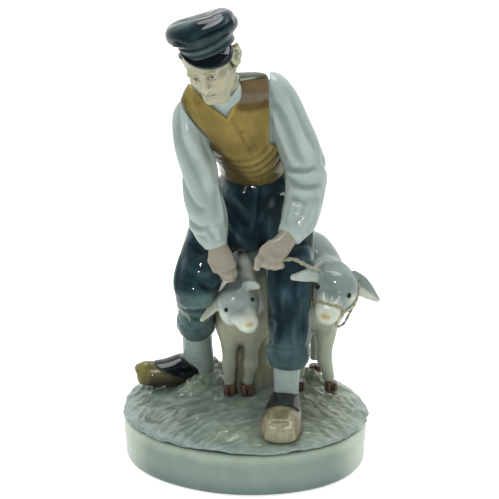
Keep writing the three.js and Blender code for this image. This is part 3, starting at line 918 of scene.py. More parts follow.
def navy_paint(P, N, ridge):
    dark, mid, fold_highlight = srgb(23, 41, 48), srgb(46, 70, 77), srgb(96, 118, 116)
    # painted light and shade: ridges lighter and creases darker, varied by random tone
    colour = mix(dark, mid, step(-0.3, 0.9, ridge + 0.35 * hand_made(P * 1.4)))
    # painted highlight on the highest ridges
    colour = mix(colour, fold_highlight, step(0.55, 1.5, ridge) * 0.65)
    # painted light: the right shin is painted a paler teal
    shin = step(-8, -14, P[:, 0]) * step(78, 72, P[:, 2])
    colour = mix(colour, srgb(84, 108, 104), shin * (0.6 + 0.25 * hand_made(P * 0.8)))
    colour = mix(colour, srgb(78, 100, 100), step(64, 54, P[:, 2]) * 0.5)
    # painted shade in the creases
    colour = mix(colour, srgb(14, 24, 30), step(-0.4, -1.3, ridge) * 0.6)
    # painted highlight on the fold ridges and painted shade in the fold creases
    fold = trouser_folds(P)
    colour = mix(colour, fold_highlight, step(0.2, 0.6, fold) * 0.42)
    return mix(colour, srgb(12, 24, 30), step(-0.15, -0.5, fold) * 0.5)


piece(
    "trousers_cloth", trousers, (-34, -34, 42), (38, 44, 130), 0.5, navy_paint, "navy_glaze",
    "trouser_leg_right", "trouser_leg_left", "trouser_seat",
)


def turn_up_field(stations):
    tube = Tube(stations, cap=0.3)
    seam = Folds([([tube.point(1.0, a, -0.3) for a in range(0, 361, 30)], 0.55, -0.55)])
    dents = Folds(
        [
            ([tube.point(0.1, a), tube.point(0.9, a + 14)], 1.2, h)
            for a, h in ((60, -0.4), (118, 0.4), (150, -0.4), (200, -0.5), (290, 0.4), (20, 0.4))
        ]
    )
    return lambda P: tube(P) - seam(P) - dents(P)


piece(
    "turn_up_right_cloth",
    turn_up_field(
        [
            (-20, 11.6, 52, 7.5, 7.7), (-20, 10.4, 54, 8.3, 8.6), (-20, 9, 56.6, 8.3, 8.6),
            (-20, 7.8, 58.6, 7.8, 8.2),
        ]
    ),
    (-32, -5, 44), (-8, 26, 66), 0.36, navy_paint, "navy_glaze", "turn_up_right",
)
piece(
    "turn_up_left_cloth",
    turn_up_field(
        [
            (18.3, -17.6, 46.8, 8, 8.2), (18.4, -17.7, 49, 9, 9.3), (18.5, -17.7, 52, 9.2, 9.5),
            (18.6, -17.5, 54.6, 8.8, 9.2),
        ]
    ),
    (6, -32, 40), (31, -4, 62), 0.36, navy_paint, "navy_glaze", "turn_up_left",
)

# ---------------------------------------------------------------- the farmer's waistcoat and shirt

torso = Tube(
    [
        (4.4, 13.5, 119, 14.6, 13.4), (4.2, 10, 125, 14.2, 13.6), (2.6, 4, 133, 14.8, 14.4),
        (-1, -3, 143, 17.2, 14.2), (-5, -8.5, 153.5, 20.6, 12.4), (-6, -10.2, 160, 19.2, 9.4),
        (-6.4, -10.8, 164.4, 15.9, 6),
    ],
    side=(1, 0.12, 0.27),
    cap=0.3,
)

NECK = rod((-5.2, -10, 156), (-9.6, -19.4, 168), 6.6, 6.4)
COLLAR = rod((-5.6, -12.2, 156), (-8.9, -18.0, 163.5), 7.5, 7.2)


def COLLAR_TOP(P):
    """Over 0 above the shirt's neck band."""
    return (P - np.array([-8, -17.6, 162.2])) @ unit((-0.2, -0.42, 0.88))


on_torso = torso.point


def across_belly(s, angles):
    """A curve across the belly, lowest near its middle."""
    return [on_torso(s + lift, a) for lift, a in zip((0, -0.03, -0.045, -0.02, 0.02), angles)]


CREASE_ANGLES, ROLL_ANGLES = (152, 122, 90, 52, 22), (142, 120, 90, 52, 26)
creases = ((0.48, -0.55), (0.43, -0.6), (0.38, -0.5), (0.33, -0.35))
rolls = ((0.455, 0.35), (0.405, 0.35), (0.355, 0.25))
belly = [(across_belly(s, CREASE_ANGLES), 0.9, h) for s, h in creases]
belly += [(across_belly(s, ROLL_ANGLES), 1.3, h) for s, h in rolls]
front_line = [
    on_torso(s, a)
    for s, a in ((0.1, 88), (0.24, 87), (0.4, 88), (0.52, 90), (0.64, 93), (0.71, 95))
]

waistcoat_folds = Folds(
    belly
    + [
        (front_line, 0.7, -0.5),
        ([on_torso(s, 88) for s in (0.06, 0.2, 0.34, 0.46, 0.56, 0.63)], 1.0, 0.3),
        # seam from the right shoulder
        ([on_torso(0.9, 150), on_torso(0.78, 140), on_torso(0.66, 128)], 1.0, 0.5),
        ([on_torso(0.62, 150), on_torso(0.52, 130), on_torso(0.45, 112)], 2.2, 0.5),
        ([on_torso(0.6, 60), on_torso(0.5, 64), on_torso(0.42, 70)], 1.6, -0.4),
        ([on_torso(0.68, 48), on_torso(0.58, 42), on_torso(0.48, 40)], 2.0, 0.5),
        # strap on the left shoulder
        ([on_torso(0.74, 62), on_torso(0.77, 48), on_torso(0.76, 34)], 0.9, 0.5),
        ([on_torso(0.7, 64), on_torso(0.72, 48), on_torso(0.71, 36)], 1.3, -0.5),
        # back: centre seam, half belt and shoulder folds
        ([on_torso(s, 270) for s in (0.05, 0.25, 0.5, 0.75, 0.9)], 0.8, -0.6),
        ([on_torso(0.2, 225), on_torso(0.19, 250), on_torso(0.19, 290), on_torso(0.2, 315)], 1.4, 0.9),
        (
            [on_torso(0.235, 222), on_torso(0.225, 250), on_torso(0.225, 290), on_torso(0.235, 318)], 0.6,
            -0.5,
        ),
        ([on_torso(0.4, 215), on_torso(0.36, 245), on_torso(0.35, 270)], 1.4, -0.6),
        ([on_torso(0.42, 325), on_torso(0.37, 295), on_torso(0.35, 272)], 1.4, -0.6),
        ([on_torso(0.72, 220), on_torso(0.66, 245), on_torso(0.64, 268)], 1.8, 0.5),
        ([on_torso(0.72, 320), on_torso(0.66, 295), on_torso(0.64, 272)], 1.8, 0.5),
    ]
)
BUTTONS = [on_torso(s, a - 3, 0.0) for s, a in ((0.2, 87), (0.3, 87.5), (0.4, 88), (0.5, 90), (0.6, 92))]


def neck_opening(P):
    """Under 0 inside the V between the waistcoat's fronts."""
    up = P[:, 2] - 150.7
    right = -6.6 - P[:, 0] - 1.22 * up  # over 0 on the right front
    left = P[:, 0] + 6.6 - 0.46 * np.clip(up, -20, 11)
    edge = np.maximum(right * 0.63, left * 0.9)
    return np.where(P[:, 1] < -9, edge, np.maximum(edge, (P[:, 1] + 9) * 0.8))


def armhole_right(P):
    """Over 0 outside the right armhole."""
    return (P[:, 0] + 11.3) * -0.794 + (P[:, 2] - 137.7) * -0.609


def armhole_left(P):
    return P[:, 0] - 10.7 + 0.03 * np.clip(P[:, 2] - 150, 0, 20)


def waistcoat(P):
    d = torso.at(P)[0] - waistcoat_folds(P) - 0.15 * hand_made(P) - 0.12 * cloth(P * 0.7)
    # the hem dips at the front, and has a small notch at its middle
    dip = 114.8 + 0.15 * np.abs(P[:, 0] - 5.5) ** 1.25 + 0.12 * (P[:, 1] + 2)
    notch = 1.6 * np.exp(-(((P[:, 0] - 5.4) / 0.8) ** 2)) * step(6, 2, P[:, 1])
    d = smooth_max(d, (dip + notch - P[:, 2]) * 0.9, 0.9)
    right = smooth_min(armhole_right(P), P[:, 2] - 137.4, 4)
    left = smooth_min(armhole_left(P), P[:, 2] - 136.5, 4)
    d = smooth_max(d, np.maximum(right, left), 0.9)
    d = smooth_max(d, -0.4 - NECK(P), 0.6)
    opening = neck_opening(P)
    near = opening < 2
    d[near] = smooth_max(d[near], np.minimum(-opening[near], d[near] + 1.6), 0.7)

    # a low rolled edge round the opening
    edge = np.exp(-(((opening - 0.7) / 0.8) ** 2)) * (P[:, 2] < 172) * (P[:, 1] < -8)
    d = d - 0.3 * edge
    for b in BUTTONS:
        near = ((P - b) ** 2).sum(1) < 9
        if near.any():
            r = P[near] - b
            h = r @ unit((0, -0.85, -0.5))
            button = np.maximum(np.sqrt(np.maximum((r * r).sum(1) - h * h, 0)) - 0.8, np.abs(h) - 0.45)
            d[near] = smooth_min(d[near], button, 0.35)
    return d


def waistcoat_paint(P, N, ridge):
    x, y, z = P.T
    # painted light and shade: ridges lighter and creases darker, varied by random tone
    brown = mix(srgb(112, 96, 52), srgb(144, 128, 72), step(-0.6, 0.9, ridge + 0.3 * hand_made(P)))
    brown = mix(brown, srgb(72, 62, 34), step(-0.2, -1.1, ridge) * 0.75)
    brown = mix(brown, srgb(112, 104, 66), step(132, 122, z) * 0.5)
    # painted highlight on the highest ridges
    brown = mix(brown, srgb(152, 142, 108), step(0.8, 1.5, ridge) * 0.3)
    cloud = 0.7 * hand_made(P * 1.2)
    # darker cloth in bands over the left shoulder
    left = step(-4, -1, x)
    colour = mix(brown, srgb(84, 68, 38), step(152.5, 155, z + cloud) * left * 0.85)
    colour = mix(colour, srgb(116, 108, 96), step(156.5, 158, z + cloud) * left * 0.7)
    colour = mix(colour, srgb(98, 82, 56), step(159.4, 160.6, z + cloud) * left * 0.85)
    colour = mix(colour, srgb(44, 62, 36), step(164.4, 165.8, z + 0.4 * cloud) * step(-6, -2, x) * 0.9)
    right = step(-19.5, -21.5, x + 0.35 * (z - 150))
    colour = mix(colour, srgb(88, 76, 42), right * 0.75)
    # painted shade on the waistcoat's side under the right armhole, where the sleeve hangs
    colour = mix(colour, srgb(64, 52, 30), step(2.2, -0.2, -armhole_right(P)) * step(141, 138, z) * 0.7)
    back = step(6, 14, y + (z - 140) * 0.62)
    # the back in its own colour, painted lighter on its ridges as painted light
    colour = mix(colour, mix(srgb(78, 84, 66), srgb(104, 104, 78), step(-0.4, 0.9, ridge)), back * 0.8)
    for b in BUTTONS:
        d = np.sqrt(((P - b) ** 2).sum(1))
        colour = mix(colour, srgb(98, 84, 46), step(1.1, 0.8, d) * 0.7)
    return colour


piece(
    "waistcoat_cloth", waistcoat, (-32, -36, 108), (26, 36, 176), 0.42, waistcoat_paint, "waistcoat_glaze",
    "waistcoat",
)

def shirt_front(P):
    """The shirt in the waistcoat's opening, with a low band round the neck."""
    chest = torso(P) + 1.1
    chest = smooth_max(chest, P[:, 1] + 4, 1)
    chest = smooth_max(chest, 148 - P[:, 2], 1)
    chest = smooth_max(chest, np.abs(P[:, 0] + 6) - 14, 1)
    collar = smooth_max(COLLAR(P), COLLAR_TOP(P), 0.8)
    return smooth_min(chest, collar, 1.6)


def shirt_paint(P, N, ridge):
    # painted light and shade: ridges lighter and creases darker, varied by random tone
    colour = mix(srgb(128, 143, 140), srgb(164, 177, 172), step(-0.9, 1.0, ridge + 0.3 * hand_made(P)))
    return mix(colour, srgb(100, 116, 116), step(-0.4, -1.3, ridge) * 0.6)


piece(
    "shirt_collar_cloth", shirt_front, (-26, -36, 146), (18, 4, 172), 0.36, shirt_paint, "shirt_glaze",
    "shirt_collar",
)

arm_right = Tube(
    [
        (-15, -7, 157, 5.4, 6.0), (-20.8, -9.5, 149.5, 7.2, 7.8), (-21.2, -13, 140.5, 7.0, 8.6),
        (-17.9, -16.2, 129.2, 7.2, 9.0), (-15.9, -17.2, 118, 7.4, 9.2), (-14.0, -18.2, 108, 8.1, 8.8),
        (-12.4, -19, 101.8, 6.9, 6.8), (-11.2, -19.6, 98, 5.0, 5.0),
    ],
    cap=0.35,
)
arm_left = Tube(
    [
        (7.5, -6.6, 161.2, 4.6, 5), (13.4, -6, 159, 6.2, 7.8), (18.4, -6, 147, 7.7, 9.6),
        (22.8, -6.4, 134.6, 8.6, 10.2), (25.3, -7.4, 125.6, 9.0, 10), (24.8, -13, 115, 7.9, 9),
        (22.6, -19, 108.4, 7.6, 7.9), (18.8, -23.6, 102.8, 5.2, 5.2),
    ],
    cap=0.35,
)


def sleeve(tube, folds, armhole):
    """A shirt sleeve that goes in under the waistcoat's edge at the armhole."""

    def field(P):
        d = tube(P) - 1.6 * folds(P) - 0.2 * hand_made(P) - 0.22 * cloth(P * [1, 1, 0.5] + 9)
        near = P[:, 2] > 128
        if near.any():
            p = P[near]
            under = torso(p) + 1.0
            d[near] = smooth_min(d[near], np.maximum(under, -armhole(p) - 3), 1.2)
            d[near] = np.maximum(d[near], np.minimum(-armhole(p) + 0.4, under))
        return d

    return field


R, L = arm_right.point, arm_left.point
sleeve_folds_right = Folds(
    [
        ([R(0.08, 120), R(0.25, 100), R(0.42, 72), R(0.55, 50)], 1.9, 0.9),
        ([R(0.1, 150), R(0.28, 128), R(0.45, 100), R(0.6, 78)], 1.7, -0.75),
        ([R(0.14, 175), R(0.32, 152), R(0.5, 128), R(0.62, 110)], 1.9, 0.7),
        ([R(0.4, 165), R(0.52, 150), R(0.6, 120), R(0.64, 90)], 1.4, -0.8),
        ([R(0.46, 180), R(0.58, 165), R(0.66, 130), R(0.69, 90)], 1.7, 0.9),
        ([R(0.6, 185), R(0.68, 160), R(0.74, 120), R(0.74, 80)], 1.3, -0.8),
        ([R(0.7, 175), R(0.76, 140), R(0.82, 110)], 1.6, 0.8),
        ([R(0.74, 100), R(0.84, 92), R(0.93, 90)], 0.9, -0.6),
        ([R(0.76, 70), R(0.85, 68), R(0.94, 66)], 1.0, 0.6),
        ([R(0.76, 130), R(0.86, 122), R(0.94, 118)], 0.9, -0.55),
        ([R(0.5, 30), R(0.62, 40), R(0.74, 50)], 1.6, 0.7),
        ([R(0.55, 10), R(0.68, 18), R(0.8, 30)], 1.4, -0.6),
        ([R(0.15, 60), R(0.3, 45), R(0.45, 25)], 1.8, -0.5),
        ([R(0.2, 230), R(0.4, 250), R(0.6, 260)], 2.0, 0.8),
        ([R(0.25, 275), R(0.45, 285), R(0.66, 280)], 1.8, -0.7),
        ([R(0.5, 220), R(0.62, 240), R(0.72, 270)], 1.6, -0.7),
        ([R(0.62, 300), R(0.7, 270), R(0.76, 240)], 1.7, 0.7),
    ]
)
sleeve_folds_left = Folds(
    [
        ([L(0.06, 130), L(0.22, 128), L(0.4, 120), L(0.52, 112)], 1.9, 0.8),
        ([L(0.08, 100), L(0.24, 104), L(0.42, 96), L(0.54, 88)], 1.8, -0.7),
        ([L(0.1, 70), L(0.26, 78), L(0.42, 70), L(0.52, 62)], 2.1, 0.8),
        ([L(0.14, 40), L(0.3, 50), L(0.44, 46)], 1.8, -0.6),
        ([L(0.16, 10), L(0.32, 22), L(0.46, 20)], 2.0, 0.6),
        ([L(0.5, 150), L(0.56, 120), L(0.58, 90), L(0.56, 60)], 1.4, -0.9),
        ([L(0.56, 155), L(0.61, 120), L(0.63, 85), L(0.6, 45)], 1.5, 0.9),
        ([L(0.62, 150), L(0.67, 115), L(0.68, 80), L(0.65, 40)], 1.3, -0.9),
        ([L(0.68, 145), L(0.72, 110), L(0.73, 75), L(0.7, 35)], 1.5, 0.85),
        ([L(0.5, 30), L(0.56, 10), L(0.58, -20)], 1.6, -0.8),
        ([L(0.75, 130), L(0.8, 100), L(0.8, 70)], 1.2, -0.7),
        ([L(0.8, 120), L(0.88, 112), L(0.96, 110)], 1.0, 0.55),
        ([L(0.8, 80), L(0.88, 78), L(0.96, 80)], 1.0, -0.5),
        ([L(0.8, 50), L(0.88, 48), L(0.96, 50)], 1.1, 0.5),
        ([L(0.2, 230), L(0.4, 250), L(0.55, 255)], 2.0, 0.8),
        ([L(0.2, 300), L(0.4, 290), L(0.55, 300)], 2.0, -0.7),
        ([L(0.5, 230), L(0.6, 260), L(0.62, 300)], 1.6, -0.9),
        ([L(0.57, 225), L(0.67, 258), L(0.68, 300)], 1.7, 0.8),
    ]
)
def sleeve_paint(folds):
    def paint(P, N, ridge):
        fold = folds(P)
        # painted highlight on the fold ridges and painted shade in the fold creases
        colour = mix(shirt_paint(P, N, ridge), srgb(176, 189, 183), step(0.2, 0.8, fold) * 0.5)
        return mix(colour, srgb(116, 134, 134), step(-0.15, -0.8, fold) * 0.5)

    return paint


piece(
    "sleeve_right_cloth", sleeve(arm_right, sleeve_folds_right, armhole_right), (-36, -34, 90), (4, 8, 170),
    0.44, sleeve_paint(sleeve_folds_right), "shirt_glaze", "sleeve_right",
)
piece(
    "sleeve_left_cloth", sleeve(arm_left, sleeve_folds_left, armhole_left), (0, -36, 92), (40, 12, 174),
    0.44, sleeve_paint(sleeve_folds_left), "shirt_glaze", "sleeve_left",
)

# ---------------------------------------------------------------- the farmer's hands


def skin_paint(P, N, ridge):
    # painted light and shade: ridges lighter and creases darker
    colour = mix(srgb(114, 112, 99), srgb(156, 150, 136), step(-0.8, 0.9, ridge))
    return mix(colour, srgb(104, 100, 86), step(-0.5, -1.4, ridge) * 0.6)


def finger(*joints, r=1.55, tip=1.15):
    rods = []
    n = len(joints) - 1
    for i in range(n):
        a = r + (tip - r) * i / n
        b = r + (tip - r) * (i + 1) / n
        rods.append(rod(joints[i], joints[i + 1], a, b))
    return union(*rods, k=0.5)


hand_right = union(
    Tube(
        [
            (-11, -19.4, 101, 4.0, 3.6), (-10.2, -20.2, 97, 4.1, 3.5), (-8.6, -20.8, 92.6, 4.7, 3.2),
            (-7.2, -20.2, 88.6, 4.5, 2.8),
        ],
        cap=0.5,
    ),
    (finger((-9.8, -20.4, 90), (-9, -20.6, 86.4), (-8, -18.8, 83.6), r=1.45), 1.3),
    (finger((-7.9, -21, 89.6), (-7.1, -21, 85.4), (-6.2, -19, 82.6), r=1.5), 1.3),
    (finger((-6, -20.8, 89.4), (-5.2, -20.6, 85.4), (-4.6, -18.4, 82.8), r=1.5), 1.3),
    (finger((-4.4, -20, 89.6), (-3.7, -19.4, 86), (-3.5, -17.2, 83.8), r=1.35), 1.3),
    (finger((-12.2, -19, 95), (-13, -19.4, 91), (-11.4, -19.2, 87), r=1.7, tip=1.35), 2.0),
    k=1.4,
)

knuckle_right = Folds(
    [
        ([(x - 1.2, -21.6, z), (x + 1.2, -21.8, z)], 0.7, 0.3)
        for x, z in ((-12, 90), (-9.2, 89.6), (-6.8, 89.4), (-4.4, 89.6))
    ]
)
piece(
    "hand_right_skin", lambda P: hand_right(P) - knuckle_right(P), (-22, -28, 74), (4, -10, 108), 0.3,
    skin_paint, "skin_glaze", "hand_right",
)

hand_left = union(
    Tube(
        [
            (19.2, -23.2, 104.2, 4.2, 3.8), (16.8, -25.6, 101, 4.8, 4.0), (13.8, -27.8, 98, 5.6, 4.2),
            (10.8, -29.0, 96.2, 5.0, 3.8),
        ],
        side=(0.35, 0, 1), cap=0.6,
    ),
    (finger((8.8, -30, 98), (6.2, -30.6, 94.8), (5.6, -29.8, 91.2), r=1.8, tip=1.35), 1.6),
    (finger((9.8, -31, 95.8), (8.8, -31.2, 93.4), (10, -29.4, 91.8), r=1.9, tip=1.6), 1.6),
    (finger((11.8, -31, 95), (11.6, -31.2, 92.8), (12.6, -29.2, 91.4), r=1.9, tip=1.6), 1.6),
    (finger((13.8, -30.2, 94.6), (14, -30.2, 92.6), (15.2, -28.4, 91.6), r=1.8, tip=1.5), 1.6),
    (finger((14.8, -28.8, 100), (11, -30.4, 100.4), (8.4, -30.8, 98.6), r=1.8, tip=1.5), 2.2),
    k=1.6,
)

piece("hand_left_skin", hand_left, (0, -36, 84), (26, -18, 108), 0.3, skin_paint, "skin_glaze", "hand_left")

# ---------------------------------------------------------------- the farmer's head and cap

yaw, pitch, roll = math.radians(15), math.radians(28), math.radians(15)

f0 = np.array([-math.sin(yaw), -math.cos(yaw), 0])
face_forward = f0 * math.cos(pitch) + np.array([0, 0, -math.sin(pitch)])
up0 = f0 * math.sin(pitch) + np.array([0, 0, math.cos(pitch)])
right0 = np.array([math.cos(yaw), -math.sin(yaw), 0])
face_up = up0 * math.cos(roll) - right0 * math.sin(roll)
face_side = right0 * math.cos(roll) + up0 * math.sin(roll)
HEAD = Frame((-13.4, -23.6, 174.6), face_side, face_forward, face_up)

HEAD_SIZE = 1.13  # the head's size against a head 25 mm high


def lump(x, y, z, a, b, c):
    return ellipsoid(np.array([x, y, z]) * HEAD_SIZE, np.array([a, b, c]) * HEAD_SIZE, HEAD)


def bar(a, b, ra, rb=None):
    rb = ra if rb is None else rb
    return rod(np.array(a) * HEAD_SIZE, np.array(b) * HEAD_SIZE, ra * HEAD_SIZE, rb * HEAD_SIZE, HEAD)


skull = union(
    lump(0, -1.2, 3.2, 8.4, 10.2, 9.2),
    (lump(0, 2.8, -4.4, 6.9, 7.0, 8.4), 3.2),
    (bar((-2.1, 6.9, -10.9), (2.1, 6.9, -10.9), 2.3), 2.0),
    *[(bar((5.4 * m, -0.8, -5.6), (2.6 * m, 5.6, -10.6), 2.4, 2.1), 2.4) for m in (1, -1)],
    *[(lump(4.7 * m, 5.2, -3.0, 2.5, 2.4, 2.0), 2.0) for m in (1, -1)],
    (bar((-4.6, 7.6, 1.5), (4.6, 7.6, 1.5), 1.35), 1.8),
    k=2.5,
)
features = union(
    bar((0, 8.3, 0.8), (0, 10.9, -3.5), 0.85, 1.15),
    (lump(0, 10.8, -3.9, 1.35, 1.35, 1.1), 0.6),
    *[(lump(1.35 * m, 9.8, -4.1, 0.85, 1.2, 0.85), 0.5) for m in (1, -1)],
    k=0.8,
)
eyes = [lump(3.2 * m, 6.75, -0.55, 1.75, 1.75, 1.45) for m in (1, -1)]
upper_lids = [bar((3.2 * m - 1.6, 8.0, -0.1), (3.2 * m + 1.6, 7.7, -0.15), 0.42) for m in (1, -1)]
lower_lids = [bar((3.2 * m - 1.4, 7.9, -1.35), (3.2 * m + 1.4, 7.6, -1.3), 0.34) for m in (1, -1)]
lips = union(
    bar(
        (-1.9, 8.7, -7.05), (0, 9.35, -6.85), 0.5, 0.66,
    ), bar((1.9, 8.7, -7.05), (0, 9.35, -6.85), 0.5, 0.66),
    k=0.5,
)
lower_lip = bar((-1.3, 8.9, -8.15), (1.3, 8.9, -8.15), 0.68)
ear_shapes = []
for m in (1, -1):
    rim = [
        (8.0 * m, 0.6, 1.6), (9.6 * m, -0.9, 3.3), (10.9 * m, -3.0, 2.5), (10.7 * m, -3.4, -0.6),
        (9.3 * m, -2.0, -3.4), (8.1 * m, -0.6, -4.7),
    ]
    ear_shapes += [bar(rim[i], rim[i + 1], 0.62 + 0.06 * (i == 4)) for i in range(5)]
    ear_shapes.append(lump(9.0 * m, -1.5, -0.5, 0.9, 2.2, 3.5))
ears = union(*ear_shapes, k=0.7)
concha = [lump(10.0 * m, -1.0, -0.5, 0.9, 1.3, 1.8) for m in (1, -1)]

sockets = [lump(3.2 * m, 9.2, -0.5, 2.1, 1.7, 1.25) for m in (1, -1)]
mouth_crease = bar((-2.0, 9.3, -7.62), (2.0, 9.3, -7.62), 0.34)
nostrils = [lump(0.75 * m, 10.6, -4.95, 0.4, 0.5, 0.35) for m in (1, -1)]
cheek_line = Folds(
    [
        (
            [
                HEAD.world(np.array(p) * HEAD_SIZE)
                for p in ((2.2 * m, 8.9, -3.6), (3.1 * m, 8.4, -5.4), (3.4 * m, 7.4, -7.4))
            ],
            0.9, -0.28,
        )
        for m in (1, -1)
    ]
)


def head(P):
    d = smooth_min(skull(P), NECK(P), 3.0)
    for s in sockets:
        d = smooth_max(d, -s(P), 1.4)
    d = smooth_min(d, features(P), 1.1)
    for e in eyes:
        d = smooth_min(d, e(P), 0.25)
    for lid in upper_lids + lower_lids:
        d = smooth_min(d, lid(P), 0.4)
    d = smooth_min(d, lips(P), 0.7)
    d = smooth_min(d, lower_lip(P), 0.7)
    d = smooth_max(d, -mouth_crease(P), 0.4)
    for n in nostrils:
        d = smooth_max(d, -n(P), 0.3)
    d = d - cheek_line(P)
    d = smooth_min(d, ears(P), 0.8)
    for c in concha:
        d = smooth_max(d, -c(P), 0.5)
    p = HEAD.local(P) / HEAD_SIZE
    hair = step(-0.5, 1.4, -p[:, 1] + 0.3 * np.abs(p[:, 0])) * step(-5.5, -3.8, p[:, 2]) * step(
        7.4, 8.2, np.abs(p[:, 0]) + 0.35 * np.clip(-p[:, 1], 0, 20),
    )
    return d - 0.28 * hair * (p[:, 2] < 4) * (1 + 0.5 * np.sin(p[:, 2] * 4 + p[:, 1] * 3))


def head_paint(P, N, ridge):
    p = HEAD.local(P) / HEAD_SIZE
    x, y, z = np.abs(p[:, 0]), p[:, 1], p[:, 2]
    # painted light and shade: ridges lighter and creases darker
    colour = mix(srgb(150, 150, 128), srgb(180, 180, 156), step(-0.8, 1.0, ridge))
    colour = mix(colour, srgb(120, 116, 92), step(-0.5, -1.4, ridge) * 0.5)
    cheeks = np.exp(-(((x - 4.4) / 2.2) ** 2) - ((z + 3.6) / 2.0) ** 2) * step(2, 5, y)
    colour = mix(colour, srgb(178, 160, 136), cheeks * 0.45)
    lip = np.exp(-((x / 2.0) ** 2) - ((z + 7.6) / 0.95) ** 2) * step(7.5, 8.6, y)
    colour = mix(colour, srgb(158, 128, 108), lip * 0.55)
    # eyes: white, iris, lid line and brow
    eye_x = x - 3.2
    ball = step(1.5, 1.3, np.abs(eye_x)) * step(0.62, 0.5, np.abs(z + 0.72)) * step(6.8, 7.4, y)
    colour = mix(colour, srgb(176, 180, 170), ball * 0.8)
    iris = step(0.66, 0.5, np.hypot(eye_x, z + 0.68)) * step(6.8, 7.4, y)
    colour = mix(colour, srgb(44, 52, 54), iris * 0.95)
    lid = np.exp(-(((z + 0.18) / 0.2) ** 2)) * step(1.8, 1.4, np.abs(eye_x)) * step(6.6, 7.2, y)
    colour = mix(colour, srgb(92, 80, 62), lid * 0.6)
    brow = np.exp(
        -(((z - 1.9 + 0.05 * eye_x**2) / 0.5) ** 2)
    ) * step(2.6, 1.9, np.abs(eye_x)) * step(6, 7, y)
    colour = mix(colour, srgb(120, 104, 72), brow * 0.6)
    hair = step(0.4, -0.6, y - 1.2 * step(-3.0, 0.5, z)) * step(-6, -4.6, z) * step(
        9.4, 8.4, x * (y > -3.6) * (y < 1.2) * (z < 3),
    )
    colour = mix(
        colour, mix(srgb(106, 96, 66), srgb(126, 114, 80), 0.5 + 0.5 * hand_made(P * 3)), hair * 0.9,
    )
    # painted shade on the neck under the jaw
    neck_shade = step(-12.6, -15.5, z - 0.5 * y)
    return mix(colour, srgb(142, 140, 116), neck_shade * 0.4)


piece("head_skin", head, (-30, -44, 148), (6, -4, 192), 0.27, head_paint, "skin_glaze", "head")

CAP = Frame((-16.6, -24, 187.9), (0.947, 0, 0.32), (-0.019, -0.997, 0.057), (-0.32, 0.06, 0.945))


def cap_fold(points, width, height):
    return [CAP.world(p) for p in points], width, height


cap_folds = Folds(
    [
        cap_fold(
            ((-8, 12.2, -1.8), (-3.4, 14.2, -0.6), (2, 14.6, 0.2), (8.3, 12.2, 0.6), (12.4, 8, 1.4)), 1.2,
            0.95,
        ),
        cap_fold(
            ((-9, 11.5, -3), (-3, 13.6, -2.2), (3, 14, -1.4), (9, 11, -1.0), (13, 6, -0.4)), 1.1, -1.0,
        ),
        cap_fold(((-13.6, 4, -2.6), (-11.4, 8.5, -2.5), (-7.5, 12, -2.8)), 1.0, 0.8),
        cap_fold(((-14.2, 3, -0.8), (-11.8, 8.4, -0.7), (-8, 11.8, -1.2)), 1.1, -0.7),
        cap_fold(((-13, 2, 2.6), (-8, 6, 4), (-2, 7, 4.6), (4, 5, 5)), 2.0, 0.7),
        cap_fold(((6, 8.5, 3.8), (10.5, 6, 3.4), (13, 1, 3)), 1.8, 0.6),
        cap_fold(((-8, -2, 4.6), (-1, -3, 4.8), (6, -2, 5)), 2.0, -0.7),
        cap_fold(((-8, -10, 3), (-2, -12.5, 2.4), (5, -11.5, 2.6)), 1.8, 0.7),
        cap_fold(((-9, -10.5, -1), (-2, -13.5, -1.6), (6, -12, -1.4)), 1.4, -0.8),
        cap_fold(((13.4, -5, 1.4), (14.4, 0, 0.4), (13, 5, 0)), 1.5, -0.7),
    ]
)

BAND = Frame((-15.9, -25.8, 186.4), (0.93, -0.08, 0.36), (-0.1, -0.98, -0.14), (-0.35, -0.12, 0.93))


def cap_crown(P):
    p = CAP.local(P)
    p[:, 2] += 0.003 * p[:, 0] * np.abs(p[:, 0])
    rho = np.hypot(p[:, 0], p[:, 1] * 1.02)
    wall = 4.7 + 0.4 * np.cos(3 * np.arctan2(p[:, 1], p[:, 0]) + 1)
    puff = np.hypot(np.maximum(rho - 10, 0), p[:, 2]) - wall
    lid = np.abs(p[:, 2]) - wall + 0.5 * np.clip(1 - rho / 10, 0, 1)
    d = np.where(rho < 10, lid, puff)
    # narrows down to the band
    b = BAND.local(P)
    throat = (np.hypot(b[:, 0] / 10.4, b[:, 1] / 11.6) - 1) * 11
    throat = np.maximum(throat, np.abs(b[:, 2] + 0.6) - 3.8)
    d = smooth_min(d, throat, 3)
    return d - 1.15 * cap_folds(P) - 0.15 * hand_made(P)


def cap_paint(P, N, ridge):
    p = CAP.local(P)
    # painted light and shade: ridges lighter, varied by random tone
    colour = mix(srgb(16, 31, 38), srgb(34, 54, 60), step(-0.3, 0.9, ridge + 0.4 * hand_made(P * 1.3)))
    # painted highlight on the fold ridges
    colour = mix(colour, srgb(112, 134, 128), step(0.75, 1.5, ridge) * 0.5)
    # painted light on the crown's top, towards its right side
    lit_top = step(2.8, 4.4, p[:, 2]) * step(3, -4, p[:, 0])
    colour = mix(colour, srgb(84, 108, 106), lit_top * 0.28)
    roll = step(-1.6, -2.8, p[:, 2]) * step(8, 12, p[:, 1]) * step(-10, -5, p[:, 0])
    return mix(colour, srgb(80, 98, 92), roll * 0.45)


piece(
    "cap_crown_cloth", cap_crown, (-38, -46, 174), (6, -4, 200), 0.36, cap_paint, "navy_glaze", "cap_crown",
)


